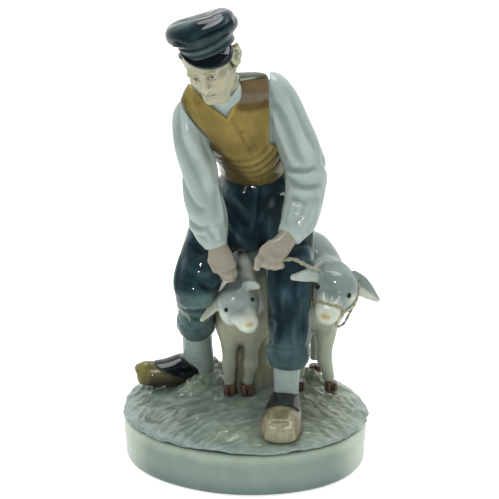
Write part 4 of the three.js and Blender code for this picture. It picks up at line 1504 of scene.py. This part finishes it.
def cap_band(P):
    b = BAND.local(P) + np.array([0, 0, 4.0])
    ring = (np.hypot(b[:, 0] / 10.9, b[:, 1] / 12.2) - 1) * 11.6
    d = np.maximum(np.abs(ring + 1.0) - 1.25, np.abs(b[:, 2]) - 2.3)
    d = smooth_max(d, np.abs(b[:, 2]) - 2.2, 0.7)
    welt = np.exp(-(((b[:, 2] - 1.7) / 0.4) ** 2)) * 0.28 + np.exp(-(((b[:, 2] + 1.8) / 0.4) ** 2)) * 0.22
    return d - welt * (ring > -1)


def band_paint(P, N, ridge):
    b = BAND.local(P)
    stripe = 0.5 + 0.5 * np.sin((b[:, 2] + 4.0) * 2.3 + 0.4 * hand_made(P))
    colour = mix(srgb(34, 50, 54), srgb(78, 96, 92), stripe)
    # painted shade in the creases
    return mix(colour, srgb(20, 32, 36), step(-0.3, -1.2, ridge) * 0.6)


piece("cap_band_cloth", cap_band, (-32, -46, 168), (4, -8, 192), 0.3, band_paint, "navy_glaze", "cap_band")

VISOR = Frame((-15.2, -30.2, 183.2), (0.94, -0.03, 0.34), (-0.14, -0.76, -0.63), (-0.277, -0.545, 0.719))


def visor(P):
    b = VISOR.local(P)
    x, y, z = b[:, 0], b[:, 1], b[:, 2]
    inner = np.hypot(x / 10.6, (y + 1) / 10.2)
    outer = np.hypot(x / 10.4, (y - 1.6) / 10.6)
    sheet = z + 0.2 * np.clip(y - 6, 0, 20) + 0.02 * x * x - 0.4
    d = np.abs(sheet) - 0.6
    d = smooth_max(d, (outer - 1) * 10.5, 0.5)
    d = smooth_max(d, (0.72 - inner) * 10.4, 0.4)
    rim = np.exp(-(((outer - 0.975) / 0.035) ** 2)) * 0.3
    return np.maximum(d - rim, 1 - y)


def visor_paint(P, N, ridge):
    b = VISOR.local(P)
    edge = np.hypot(b[:, 0] / 10.4, (b[:, 1] - 1.6) / 10.6)
    return mix(srgb(11, 20, 27), srgb(82, 94, 90), step(0.995, 1.02, edge) * 0.6)


piece(
    "cap_visor_leather", visor, (-34, -50, 164), (4, -22, 190), 0.27, visor_paint, "black_glaze",
    "cap_visor",
)

# ---------------------------------------------------------------- the calves


def calf_head_fields(F, k):
    """A calf's head in the frame F, from between its eyes: x across, y to the muzzle, z out of its brow."""

    def e(x, y, z, a, b, c):
        return ellipsoid(np.array([x, y, z]) * k, np.array([a, b, c]) * k, F)

    def r(a, b, ra, rb):
        return rod(np.array(a) * k, np.array(b) * k, ra * k, rb * k, F)

    body = [
        e(0, -4, 0.6, 7.6, 7.4, 6.4),
        (r((-3.9, -2.2, 3.0), (3.9, -2.2, 3.0), 3.1, 3.1), 2.0),
        (e(0, 10.0, -3.0, 3.6, 3.5, 3.3), 2.4),
        (r((0, 0.5, -4.2), (0, 9.4, -4.6), 4.0, 2.5), 2.4),
    ]
    for m in (1, -1):
        body.append((r((3.8 * m, -0.5, -0.6), (1.6 * m, 9.4, -2.6), 3.8, 2.5), 2.2))
        body.append((e(4.5 * m, 0.6, 0.8, 2.5, 2.9, 2.5), 1.8))
        body.append((e(4.7 * m, -0.6, -3.0, 2.8, 4.6, 3.6), 2.4))
    whole = union(*body, k=2)
    eyes = [e(5.4 * m, 2.5, 2.0, 0.9, 0.9, 1.05) for m in (1, -1)]
    nostrils = [e(1.15 * m, 13.1, -2.0, 0.35, 0.5, 0.3) for m in (1, -1)]
    mouth = [r((2.6 * m, 11.0, -4.9), (0, 12.7, -5.1), 0.26, 0.26) for m in (1, -1)]
    cheek = [r((3.7 * m, 8.2, -4.9), (2.6 * m, 11.0, -4.9), 0.2, 0.26) for m in (1, -1)]

    def field(P, rest):
        d = smooth_min(rest, whole(P), 3.0)
        for s in eyes:
            d = smooth_min(d, s(P), 0.35)
        for s in nostrils:
            d = smooth_max(d, -s(P), 0.4)
        for s in mouth + cheek:
            d = smooth_max(d, -s(P), 0.4)
        return d

    return field


def calf_face_paint(P, N, ridge, F, k, colour, grey, white):
    """Grey forehead, white cheeks and muzzle, ochre nose and black eyes."""
    p = F.local(P) / k
    x, y, z = np.abs(p[:, 0]), p[:, 1], p[:, 2]
    headness = step(-12.0, -8.0, y + 0.4 * z) * step(12, 9.5, x) * step(-10, -7.5, z)
    cloud = 0.8 * hand_made(P * 1.8)
    mask = mix(
        white, grey,
        step(
            -3.4, 2.0, z + cloud + 0.3 * np.clip(y, 0, 20),
        ) * step(9.5, 4.5, y + cloud) * step(9, 5.4, x + cloud),
    )
    mask = mix(
        mask, white,
        np.exp(-(((x - 6.4) / 1.6) ** 2) - ((y - 3.0) / 2.2) ** 2 - ((z - 0.4) / 1.8) ** 2) * 0.8,
    )
    colour = mix(colour, mask, headness)
    nose = np.exp(-((x / 1.25) ** 2) - ((z + 2.0) / 1.15) ** 2) * step(11.2, 12.4, y)
    colour = mix(colour, srgb(168, 138, 72), nose * 0.9)
    nostril = np.exp(-(((x - 1.15) / 0.4) ** 2) - ((z + 2.0) / 0.35) ** 2) * step(11.4, 12.4, y)
    colour = mix(colour, srgb(140, 112, 66), nostril * 0.4)
    mouth = np.exp(-(((z + 5.0) / 0.28) ** 2)) * step(7.5, 9, y) * headness
    colour = mix(colour, srgb(128, 122, 104), mouth * 0.35)
    ex, ey, ez = x - 5.5, y - 2.8, z - 2.1
    halo = np.exp(-((ex / 1.7) ** 2) - (ey / 1.7) ** 2 - (ez / 1.5) ** 2)
    colour = mix(colour, srgb(98, 124, 134), halo * 0.4)
    eye = step(1.15, 0.85, np.sqrt((ex / 0.9) ** 2 + (ey / 0.95) ** 2 + (ez / 1.0) ** 2))
    return mix(colour, srgb(12, 20, 24), eye * 0.98)


def leaf(points, widths, thickness, across, cup):
    """An ear: a thin leaf along points, as wide as widths, hollowed on one face."""
    tube = Tube(
        [(*p, w, thickness * (0.8 + 0.2 * (i == 0))) for i, (p, w) in enumerate(zip(points, widths))],
        side=across, cap=0.8,
    )
    hollow = Folds(
        [
            (
                [
                    tube.point(0.12, 90 if cup > 0 else -90), tube.point(0.5, 90 if cup > 0 else -90),
                    tube.point(0.92, 90 if cup > 0 else -90),
                ],
                max(widths) * 0.45, -abs(cup),
            )
        ]
    )
    return lambda P: tube(P) - hollow(P)


def leg(points, radii):
    return Tube([(*p, r, r * 1.12) for p, r in zip(points, radii)], cap=0.5)


def hoof(at, turn):
    """A cloven hoof: two toes side by side, flat underneath."""
    width, long, height = 2.7, 3.4, 4.0
    c, s = math.cos(math.radians(turn)), math.sin(math.radians(turn))
    F = Frame(at, (c, s, 0), (s, -c, 0), (0, 0, 1))
    toes = [
        ellipsoid((0.45 * width * m, 0.1 * long, 0.2), (0.6 * width, 0.86 * long, height), F)
        for m in (1, -1)
    ]
    heel = ellipsoid((0, -0.2 * long, 0.8), (width * 0.85, long * 0.7, height * 0.9), F)
    cleft = rod((0, 1.6, -1), (0, long * 1.3, 2.2), 0.3, 0.3, F)

    def field(P):
        p = F.local(P)
        d = smooth_min(smooth_min(toes[0](P), toes[1](P), 0.35), heel(P), 0.8)
        d = smooth_max(d, -cleft(P), 0.35)
        d = smooth_max(d, -p[:, 2] - 1.8, 0.4)
        return smooth_max(d, p[:, 2] - 2.3, 0.4)

    return field


def hoof_paint(P, N, ridge):
    lines = 0.5 + 0.5 * np.sin(P[:, 0] * 4.2 + 1.3 * np.sin(P[:, 2] * 1.1))
    colour = mix(srgb(66, 52, 44), srgb(108, 84, 68), lines)
    # painted highlight on the ridges
    return mix(colour, srgb(112, 98, 78), step(0.4, 1.3, ridge) * 0.5)


def hooves(calf_name, legs, places, turns=(0, 0, 0, 0)):
    for name, at, turn in zip(legs, places, turns):
        box_low, box_high = np.array(at) - 7, np.array(at) + 7
        node = f"{calf_name}_hoof_{name}"
        made = f"{calf_name}_{name}_cleft_hoof"
        piece(made, hoof(at, turn), box_low, box_high, 0.26, hoof_paint, "hoof_glaze", node)


def calf_coat(P, N, ridge, back_height, dark, light):
    colour = mix(
        light, dark,
        step(-0.35, 0.75, N[:, 2] + 0.25 * hand_made(P * 1.2)) * step(52, back_height, P[:, 2]),
    )
    # painted shade in creases and painted highlight on ridges
    colour = mix(colour, srgb(112, 110, 92), step(-0.5, -1.4, ridge) * 0.5)
    return mix(colour, srgb(188, 192, 180), step(0.6, 1.4, ridge) * 0.35)


# the straddled calf
A_HEAD = Frame(
    (-2.0, -11.5, 68.9), unit((0.918, 0.254, 0.304)), unit((0.305, -0.943, -0.133)),
    unit((-0.253, -0.215, 0.943)),
)
A_K = 1.05

a_trunk = Tube(
    [
        (0, 3.5, 56, 11.4, 11.5), (0, 10, 61.5, 12.4, 15), (1, 21, 64.5, 12.6, 17.6),
        (2, 32, 65.5, 12.6, 17.6), (2.4, 38.6, 64.6, 11.2, 15.4),
    ],
    cap=0.6,
)
a_neck = Tube([(1.5, 14, 69, 9.4, 11), (0.2, 4, 70, 8.8, 10), (-1.4, -5, 70.5, 7.4, 8.6)], cap=0.6)
a_back = Tube([(1, 20, 76, 11, 10), (4.4, 11, 82, 9.4, 9.4), (7.6, 2, 85.4, 7.2, 7)], cap=0.6)

A_LEGS = {
    "fore_right": (
        [(-5.6, 5, 54), (-5.9, 3.4, 44), (-6.1, 3, 37), (-5.9, 3.6, 30.5)], [5.4, 3.2, 2.9, 2.3],
    ),
    "fore_left": ([(4.2, 5, 54), (3.4, 3.4, 44), (2.9, 3, 37), (1.7, 3.6, 30.5)], [5.4, 3.1, 2.7, 2.2]),
    "hind_right": ([(-5, 33, 62), (-6, 38.5, 49), (-5.4, 40.5, 40), (-5.4, 39, 30)], [8, 4.4, 2.9, 2.3]),
    "hind_left": ([(8.6, 33, 62), (9, 38.5, 49), (8, 40.5, 40), (7.6, 39, 30)], [8, 4.4, 2.9, 2.3]),
}
B_LEGS = {
    "fore_right": ([(27, 12, 60), (25.4, 12, 48), (24, 13, 39), (23.6, 13.6, 30.5)], [5.6, 3.6, 3.0, 2.3]),
    "fore_left": (
        [(34.6, 9.5, 58), (34.6, 8.6, 47), (34.4, 8.8, 40), (36.4, 10.6, 30)], [6.4, 3.9, 3.3, 2.4],
    ),
    "hind_right": (
        [(20.5, 32, 64), (20.4, 38, 50), (21, 39.6, 40), (21, 38.4, 29.6)], [8.4, 4.6, 3.0, 2.3],
    ),
    "hind_left": ([(33, 31, 64), (33, 36.6, 50), (31.8, 38.2, 40), (31.2, 37, 29.6)], [8.4, 4.6, 3.0, 2.3]),
}


def legs_field(legs):
    tubes = [leg(points, radii) for points, radii in legs.values()]
    knees = []
    for name, (points, radii) in legs.items():
        x, y, z = points[2]
        if name.startswith("fore"):
            knees.append(ellipsoid((x, y - 0.6, z + 1.5), (3.0, 2.9, 3.2)))
        else:
            knees.append(ellipsoid((x, y + 1.2, z + 2), (2.7, 3.2, 3.0)))
    return union(*tubes, *[(n, 1.2) for n in knees], k=1.5)


a_legs = legs_field(A_LEGS)
a_head = calf_head_fields(A_HEAD, A_K)
a_ear_right = leaf(
    [(-8.0, -7, 72), (-11.2, -8.4, 69.6), (-14.4, -9.6, 66), (-17.2, -10.4, 62.6)], [2.4, 2.9, 2.2, 0.9],
    1.15, (0.62, -0.5, -0.6), 0.6,
)
a_ear_left = leaf(
    [(0.6, -10, 77.0), (2.6, -12.2, 78.2), (4.8, -14, 78.8), (6.4, -15, 78.6)], [2.0, 2.3, 2.1, 1.3], 1.2,
    (0.1, 0.35, -1), 0.5,
)


def tail_field(root, bend, low, tip):
    return union(rod(root, bend, 2.2, 1.7), rod(bend, low, 1.7, 1.4), rod(low, tip, 1.9, 2.3), k=1.5)


a_tail = tail_field((2.2, 41.5, 77), (2.8, 46, 68), (3.4, 46.6, 54), (3.2, 45.4, 45))
a_details = Folds(
    [
        ([(-2, -7.5, 62), (-1, -7.6, 54), (-1, -5.4, 47)], 1.6, -0.7),
        ([(-9.4, -3, 64), (-7.6, -5.6, 56), (-6.6, -3.4, 48)], 2.2, 0.6),
        ([(8.6, -2, 64), (6.2, -5.4, 56), (4.2, -3.2, 48)], 2.2, 0.6),
        ([(-11.5, 10, 60), (-12.6, 14, 68), (-11, 16, 78)], 2.0, -0.6),
        ([(12, 10, 60), (13, 14, 68), (12, 16, 78)], 2.0, -0.6),
        ([(-12, 26, 56), (-13, 30, 66), (-11, 32, 76)], 2.0, -0.6),
        ([(13, 26, 56), (14.4, 30, 66), (13, 32, 76)], 2.0, -0.6),
        ([(1.4, 6, 82), (1.4, 20, 88), (2, 34, 86.4)], 2.4, 0.4),
        ([(2.4, 46, 70), (2.6, 46, 60), (2.6, 44, 52)], 2.0, -0.8),
    ]
)


def calf(bulk, legs, details, shift, head, tail, *ears):
    """A whole calf. shift moves its unevenness, so that the two calves differ."""

    def field(P):
        d = bulk[0](P)
        for part in bulk[1:]:
            d = smooth_min(d, part(P), 4)
        d = smooth_min(d, legs(P), 2.4)
        d = head(P, d - details(P) - 0.2 * hand_made(P * 1.3 + shift))
        d = smooth_min(d, tail(P), 1.2)
        for ear in ears:
            d = smooth_min(d, ear(P), 0.9)
        return d

    return field


straddled_calf = calf(
    (a_trunk, a_neck, a_back), a_legs, a_details, 0, a_head, a_tail, a_ear_right, a_ear_left,
)


def straddled_paint(P, N, ridge):
    colour = calf_coat(P, N, ridge, 84, srgb(104, 114, 104), srgb(158, 158, 138))
    # painted shade on the back, under the farmer's seat
    colour = mix(
        colour, srgb(70, 84, 78),
        step(73, 80, P[:, 2]) * step(-10, -3, P[:, 1]) * step(24, 16, P[:, 1]) * 0.85,
    )
    colour = mix(colour, srgb(134, 144, 130), step(52, 44, P[:, 2]) * 0.7)
    colour = calf_face_paint(P, N, ridge, A_HEAD, A_K, colour, srgb(150, 162, 158), srgb(194, 201, 190))
    ear = step(-9.0, -10.6, P[:, 0]) * step(-3, -5, P[:, 1]) * step(60, 62, P[:, 2])
    colour = mix(colour, srgb(176, 184, 170), ear * 0.8)
    # painted highlight on the left ear
    return mix(
        colour, srgb(164, 174, 166),
        step(0.6, 2.0, P[:, 0]) * step(74.5, 76, P[:, 2]) * step(-8, -10.5, P[:, 1]) * 0.8,
    )


CALF_NODES = ["head", "ear_right", "ear_left", "body", "tail"] + [
    f"leg_{a}_{b}"
    for a in ("fore", "hind") for b in ("right", "left")
]
piece(
    "straddled_calf_coat", straddled_calf, (-22, -32, 24), (20, 54, 96), 0.4, straddled_paint, "calf_glaze",
    *[f"straddled_calf_{n}" for n in CALF_NODES],
)
hooves("straddled_calf", A_LEGS, ((-5.8, 2.6, 27.4), (1.6, 2.6, 27.4), (-5.4, 37.8, 26), (7.6, 37.8, 26)))

# the led calf
B_HEAD = Frame(
    (37.5, -11.9, 75.2), unit((0.96, -0.19, -0.205)), unit((-0.25, -0.94, -0.235)),
    unit((0.148, -0.277, 0.95)),
)

B_K = 1.2

b_trunk = Tube(
    [
        (33.6, 7, 60, 9.6, 11), (31.6, 14, 67, 12.8, 17.6), (28.8, 26, 70, 13.8, 19.6),
        (26.8, 35, 69, 13, 18.4), (26.4, 40, 67.6, 11.4, 15.8),
    ],
    side=(1, 0.2, 0), cap=0.6,
)
b_neck = Tube([(33, 12, 70, 10, 11), (35.6, 3, 75, 9, 10), (37, -5, 77.5, 8.2, 9)], cap=0.6)
b_legs = legs_field(B_LEGS)
b_head = calf_head_fields(B_HEAD, B_K)
b_ear_right = leaf(
    [(31.4, -12, 81.8), (28.8, -17.4, 84.4), (24.3, -24.6, 86.1), (19.9, -28.0, 86.5)],
    [2.8, 3.0, 2.4, 1.2], 1.2, (0, 0.2, 1), 0.6,
)

b_ear_left = leaf(
    [(43.6, -6, 79.4), (47.6, -5.6, 76.6), (52, -5.2, 72.8), (55.9, -5, 69.6)], [4.8, 4.8, 3.4, 1.2], 1.3,
    (0.6, -0.25, 0.8), 0.8,
)

b_tail = tail_field((26.2, 42.6, 79), (25.4, 47, 70), (24.6, 47.4, 56), (24.2, 46.2, 47))
b_details = Folds(
    [
        ([(43, 14, 60), (44.4, 17, 68), (42, 20, 78)], 2.0, -0.6),
        ([(40.6, 28, 58), (42.4, 32, 68), (39.6, 34, 80)], 2.0, -0.6),
        ([(30.6, 8, 84), (29.4, 20, 90), (27.8, 34, 88)], 2.4, 0.4),
        ([(40, 3, 66), (39, 1.5, 58), (36.6, 4, 50)], 2.0, 0.6),
        ([(34, 0.4, 64), (34, 0, 56)], 1.8, -0.6),
        ([(26.4, 47, 72), (26.2, 47, 62), (26, 45, 54)], 2.0, -0.8),
        ([(16.6, 22, 60), (15.4, 26, 68), (16.6, 28, 78)], 2.0, -0.6),
    ]
)


led_calf = calf((b_trunk, b_neck), b_legs, b_details, 40, b_head, b_tail, b_ear_right, b_ear_left)


def led_paint(P, N, ridge):
    colour = calf_coat(P, N, ridge, 84, srgb(108, 122, 118), srgb(160, 168, 150))
    colour = calf_face_paint(P, N, ridge, B_HEAD, B_K, colour, srgb(124, 138, 135), srgb(186, 192, 180))
    far_ear = step(43.5, 46, P[:, 0]) * step(6, 2, P[:, 1]) * step(66, 68, P[:, 2])
    across = (P - np.array([48, -5.6, 76.6])) @ unit((0.6, -0.25, 0.8))
    colour = mix(colour, mix(srgb(132, 144, 141), srgb(196, 199, 188), step(0.8, -1.2, across)), far_ear)
    # painted highlight on the near right ear
    near_ear_highlight = step(31.5, 29.5, P[:, 0]) * step(-6, -9, P[:, 1]) * step(78, 80, P[:, 2])
    return mix(colour, srgb(166, 175, 168), near_ear_highlight)


piece(
    "led_calf_coat", led_calf, (12, -34, 24), (61, 54, 98), 0.4, led_paint, "calf_glaze",
    *[f"led_calf_{n}" for n in CALF_NODES],
)
hooves(
    "led_calf", B_LEGS, ((23.4, 12, 25.8), (37.2, 9.8, 26.2), (21, 37, 25), (31.2, 35.6, 24.8)),
    (0, 12, 0, 0),
)

# ---------------------------------------------------------------- halter and lead rope, modelled in porcelain


def twisted(points, radius, turns=2.2):
    """A rope of two strands laid round each other."""
    tube = Tube([(*p, radius, radius) for p in points], side=(0.2, 0.3, 1), cap=0.7, steps=8)
    length = tube.step.sum()

    def field(P):
        def shape(p):
            d, s, a = tube.at(p)
            return d - 0.2 * radius * np.cos(2 * a - s * length * turns / radius * 0.55)

        return within(P, tube.box, 3, shape)

    return field


def rope_paint(P, N, ridge):
    # painted shade between the strands and painted light on their crests
    return mix(srgb(92, 92, 74), srgb(140, 138, 116), step(-0.8, 0.9, ridge))


def b_at(x, y, z):
    return B_HEAD.world(np.array([x, y, z]) * B_K)


def lay(points, lift):
    """The points moved onto the led calf's surface, lift mm above it."""
    P = np.array(points)
    for _ in range(12):
        f, g = gradient(led_calf, P, 0.3)
        P = P - np.clip(f - lift, -1.5, 1.5)[:, None] * g / np.maximum((g * g).sum(1), 0.3)[:, None]
    return [tuple(p) for p in P]


noseband = [
    b_at(5.4 * math.cos(t), 7.0 + 2.4 * max(math.sin(t), 0), 5.0 * math.sin(t) - 2.6)
    for t in np.radians(np.arange(-36, 218, 18))
]
halter = {
    "noseband": (lay(noseband, 0.25), 0.62),
    "cheek_rope": (
        lay(
            [
                b_at(5, 7.2, -2.8), b_at(6.2, 5.2, -2.4), b_at(7.2, 2.8, -1.6), b_at(8.2, 0.2, -0.4),
                b_at(8.2, -3, 1.0), b_at(7.6, -6, 2.4),
            ],
            0.25,
        ),
        0.58,
    ),
    "chin_rope": (
        lay([b_at(4.9, 7.4, -3.2), b_at(4.6, 8.2, -5.8)], 0.25)
        + [tuple(b_at(4.2, 8.2, -8)), tuple(b_at(6, 5.2, -8))]
        + lay([b_at(7.8, 1.8, -5.4), b_at(8.6, -2.2, -3.4)], 0.25),
        0.52,
    ),
}

near_cheek = twisted(
    lay(
        [
            b_at(-5, 7.2, -1.8), b_at(-5.8, 5.6, -0.8), b_at(-6.6, 3.4, 0.6), b_at(-7.4, 0.6, 2.4),
            b_at(-7.2, -3, 4.2),
        ],
        0.25,
    ),
    0.56,
)

knots = union(
    ellipsoid(b_at(-4.7, 7.4, -1.4), (1.1, 1.0, 1.1)), ellipsoid(b_at(4.7, 7.8, -2.2), (1.2, 1.1, 1.1)),
    k=0.4,
)

for name, (points, radius) in halter.items():
    low_corner, high_corner = np.min(points, 0) - 4, np.max(points, 0) + 4
    field = twisted(points, radius)
    if name == "noseband":
        field = union(field, knots, near_cheek, k=0.5)
        low_corner, high_corner = B_HEAD.O - 22, B_HEAD.O + 18
    piece(
        f"halter_{name}_rope", field, low_corner, high_corner, 0.22, rope_paint, "rope_glaze",
        "halter_noseband" if name == "noseband" else f"halter_{name}",
    )

lead = [
    (12, -30, 92.5), (16.5, -29.8, 94.4), (20.6, -28.4, 94.2), (24, -26.6, 92), (26.9, -24, 89.6),
    (29.4, -19, 87), (31, -13.5, 84.5),
]

piece(
    "lead_rope_twist", twisted(lead, 0.74), (6, -36, 82), (36, -6, 100), 0.22, rope_paint, "rope_glaze",
    "lead_rope",
)


# a mound of grass under the straddled calf, which holds it up in the kiln
prop = union(
    Tube(
        [(0.6, 9.5, 22, 9.5, 5), (0.8, 9.5, 32, 8.4, 4.2), (1.2, 9.5, 44, 8.6, 4.6), (1.4, 11, 54, 8, 5)],
        cap=0.3,
    ),
    (Tube([(8.5, 17, 22, 5.5, 8), (8, 17, 34, 4.6, 7.4), (7.2, 18, 48, 5, 8)], cap=0.3), 3),
    k=2,
)
prop_grass = Folds(
    [
        ([(x, 4.6 + 0.25 * (x - 1) ** 2 * 0.3, 22), (x + 0.5, 4.4, 32), (x + 0.9, 5.6, 44)], 0.8, h)
        for x, h in (
            (-5, -0.5), (-2.6, 0.4), (-0.6, -0.5), (1.6, 0.4), (3.4, -0.5), (6, 0.5), (8.2, -0.5),
            (10.4, 0.4),
        )
    ]
)


def prop_paint(P, N, ridge):
    # painted light and shade: ridges lighter and creases darker, varied by random tone
    colour = mix(srgb(110, 112, 90), srgb(142, 140, 114), step(-0.8, 0.9, ridge + 0.5 * hand_made(P)))
    return mix(colour, srgb(108, 116, 106), step(34, 25, P[:, 2]))


piece(
    "grass_prop", lambda P: prop(P) - prop_grass(P), (-12, 2, 20), (18, 30, 62), 0.45, prop_paint,
    "turf_glaze", "turf",
)

# ---------------------------------------------------------------- make everything


def make(spec):
    name, field, box_low, box_high, cell, paint, slot, nodes = spec
    V, Q, N = sculpt(field, box_low, box_high, cell)
    colour = paint(V, N, relief(V, Q, N))
    return name, V, Q, colour, slot, nodes


with ThreadPoolExecutor(4) as pool:
    results = list(pool.map(make, pieces))
for name, V, Q, colour, slot, nodes in results:
    made = to_mesh(name, V, Q, colour)
    place(made, MATERIALS[slot], slot, nodes)
build_plinth()
build_turf()

# ---------------------------------------------------------------- floor, light and camera

scene = bpy.context.scene
centre = Vector(BASE)


FLOOR_RADIUS = 3.0


def floor_disc():
    mesh = bpy.data.meshes.new("floor")
    around = 96
    turns = [2 * math.pi * i / around for i in range(around)]
    points = [(FLOOR_RADIUS * math.cos(t), FLOOR_RADIUS * math.sin(t), 0.0) for t in turns]
    mesh.from_pydata([tuple(centre + Vector(p)) for p in points], [], [tuple(range(around))])
    floor = bpy.data.objects.new("floor", mesh)
    scene.collection.objects.link(floor)
    material = bpy.data.materials.new("pale_floor")
    material.use_nodes = True
    shader = material.node_tree.nodes["Principled BSDF"]
    shader.inputs["Base Color"].default_value = (0.8, 0.8, 0.79, 1)
    shader.inputs["Roughness"].default_value = 1.0
    shader.inputs["Specular IOR Level"].default_value = 0.0
    shader.inputs["Emission Color"].default_value = (1, 1, 0.99, 1)
    shader.inputs["Emission Strength"].default_value = 0.62
    mesh.materials.append(material)
    floor.visible_glossy = False


def world_light():
    world = bpy.data.worlds.new("tent")
    scene.world = world
    world.use_nodes = True
    nodes, links = world.node_tree.nodes, world.node_tree.links
    nodes.clear()
    out = nodes.new("ShaderNodeOutputWorld")
    tent = nodes.new("ShaderNodeBackground")
    white = nodes.new("ShaderNodeBackground")
    choose = nodes.new("ShaderNodeMixShader")
    ray = nodes.new("ShaderNodeLightPath")
    place = nodes.new("ShaderNodeTexCoord")
    split = nodes.new("ShaderNodeSeparateXYZ")
    links.new(place.outputs["Generated"], split.inputs["Vector"])
    # the tent is open at the front, so glossy glaze mirrors a dark room there
    ranges = []
    for from_min, from_max, to_min, to_max in ((-1.0, 0.35, 0.3, 1.25), (-0.1, 0.95, 0.02, 0.9)):
        side = nodes.new("ShaderNodeMapRange")
        side.inputs["From Min"].default_value = from_min
        side.inputs["From Max"].default_value = from_max
        side.inputs["To Min"].default_value = to_min
        side.inputs["To Max"].default_value = to_max
        side.interpolation_type = "SMOOTHSTEP"
        links.new(split.outputs["Y"], side.inputs["Value"])
        ranges.append(side)
    mirrored = nodes.new("ShaderNodeMix")
    links.new(ray.outputs["Is Glossy Ray"], mirrored.inputs["Factor"])
    links.new(ranges[0].outputs["Result"], mirrored.inputs["A"])
    links.new(ranges[1].outputs["Result"], mirrored.inputs["B"])
    links.new(mirrored.outputs["Result"], tent.inputs["Strength"])
    tent.inputs["Color"].default_value = (0.97, 1.0, 0.98, 1)
    white.inputs["Color"].default_value = (1, 1, 1, 1)
    white.inputs["Strength"].default_value = 1.0
    links.new(ray.outputs["Is Camera Ray"], choose.inputs["Fac"])
    links.new(tent.outputs["Background"], choose.inputs[1])
    links.new(white.outputs["Background"], choose.inputs[2])
    links.new(choose.outputs["Shader"], out.inputs["Surface"])


def lamp(name, place, target, size, watts):
    data = bpy.data.lights.new(name, "AREA")
    data.shape = "DISK"
    data.size = size
    data.energy = watts
    made = bpy.data.objects.new(name, data)
    made.location = centre + Vector(place)
    made.rotation_euler = (Vector(target) - Vector(place)).to_track_quat("-Z", "Y").to_euler()
    scene.collection.objects.link(made)


floor_disc()
world_light()
lamp("top_softbox", (0.0, 0.15, 1.1), (0, 0, 0.1), 0.7, 5.0)
lamp("front_lamp", (-0.12, -0.72, 0.72), (0, 0, 0.1), 0.045, 1.6)

CAMERA_LIFT = math.radians(16.5)
CAMERA_AWAY = 1.0
CAMERA_LENS = 173.65
AIM = Vector((0.00256, 0, 0.09))
camera_data = bpy.data.cameras.new("camera")
camera_data.sensor_width = 36
camera_data.lens = CAMERA_LENS
camera_data.clip_end = 20
camera = bpy.data.objects.new("camera", camera_data)
away = Vector((0, -math.cos(CAMERA_LIFT), math.sin(CAMERA_LIFT))) * CAMERA_AWAY
camera.location = centre + AIM + away
camera.rotation_euler = (-away).to_track_quat("-Z", "Y").to_euler()
scene.collection.objects.link(camera)
scene.camera = camera
scene.view_settings.view_transform = "Standard"
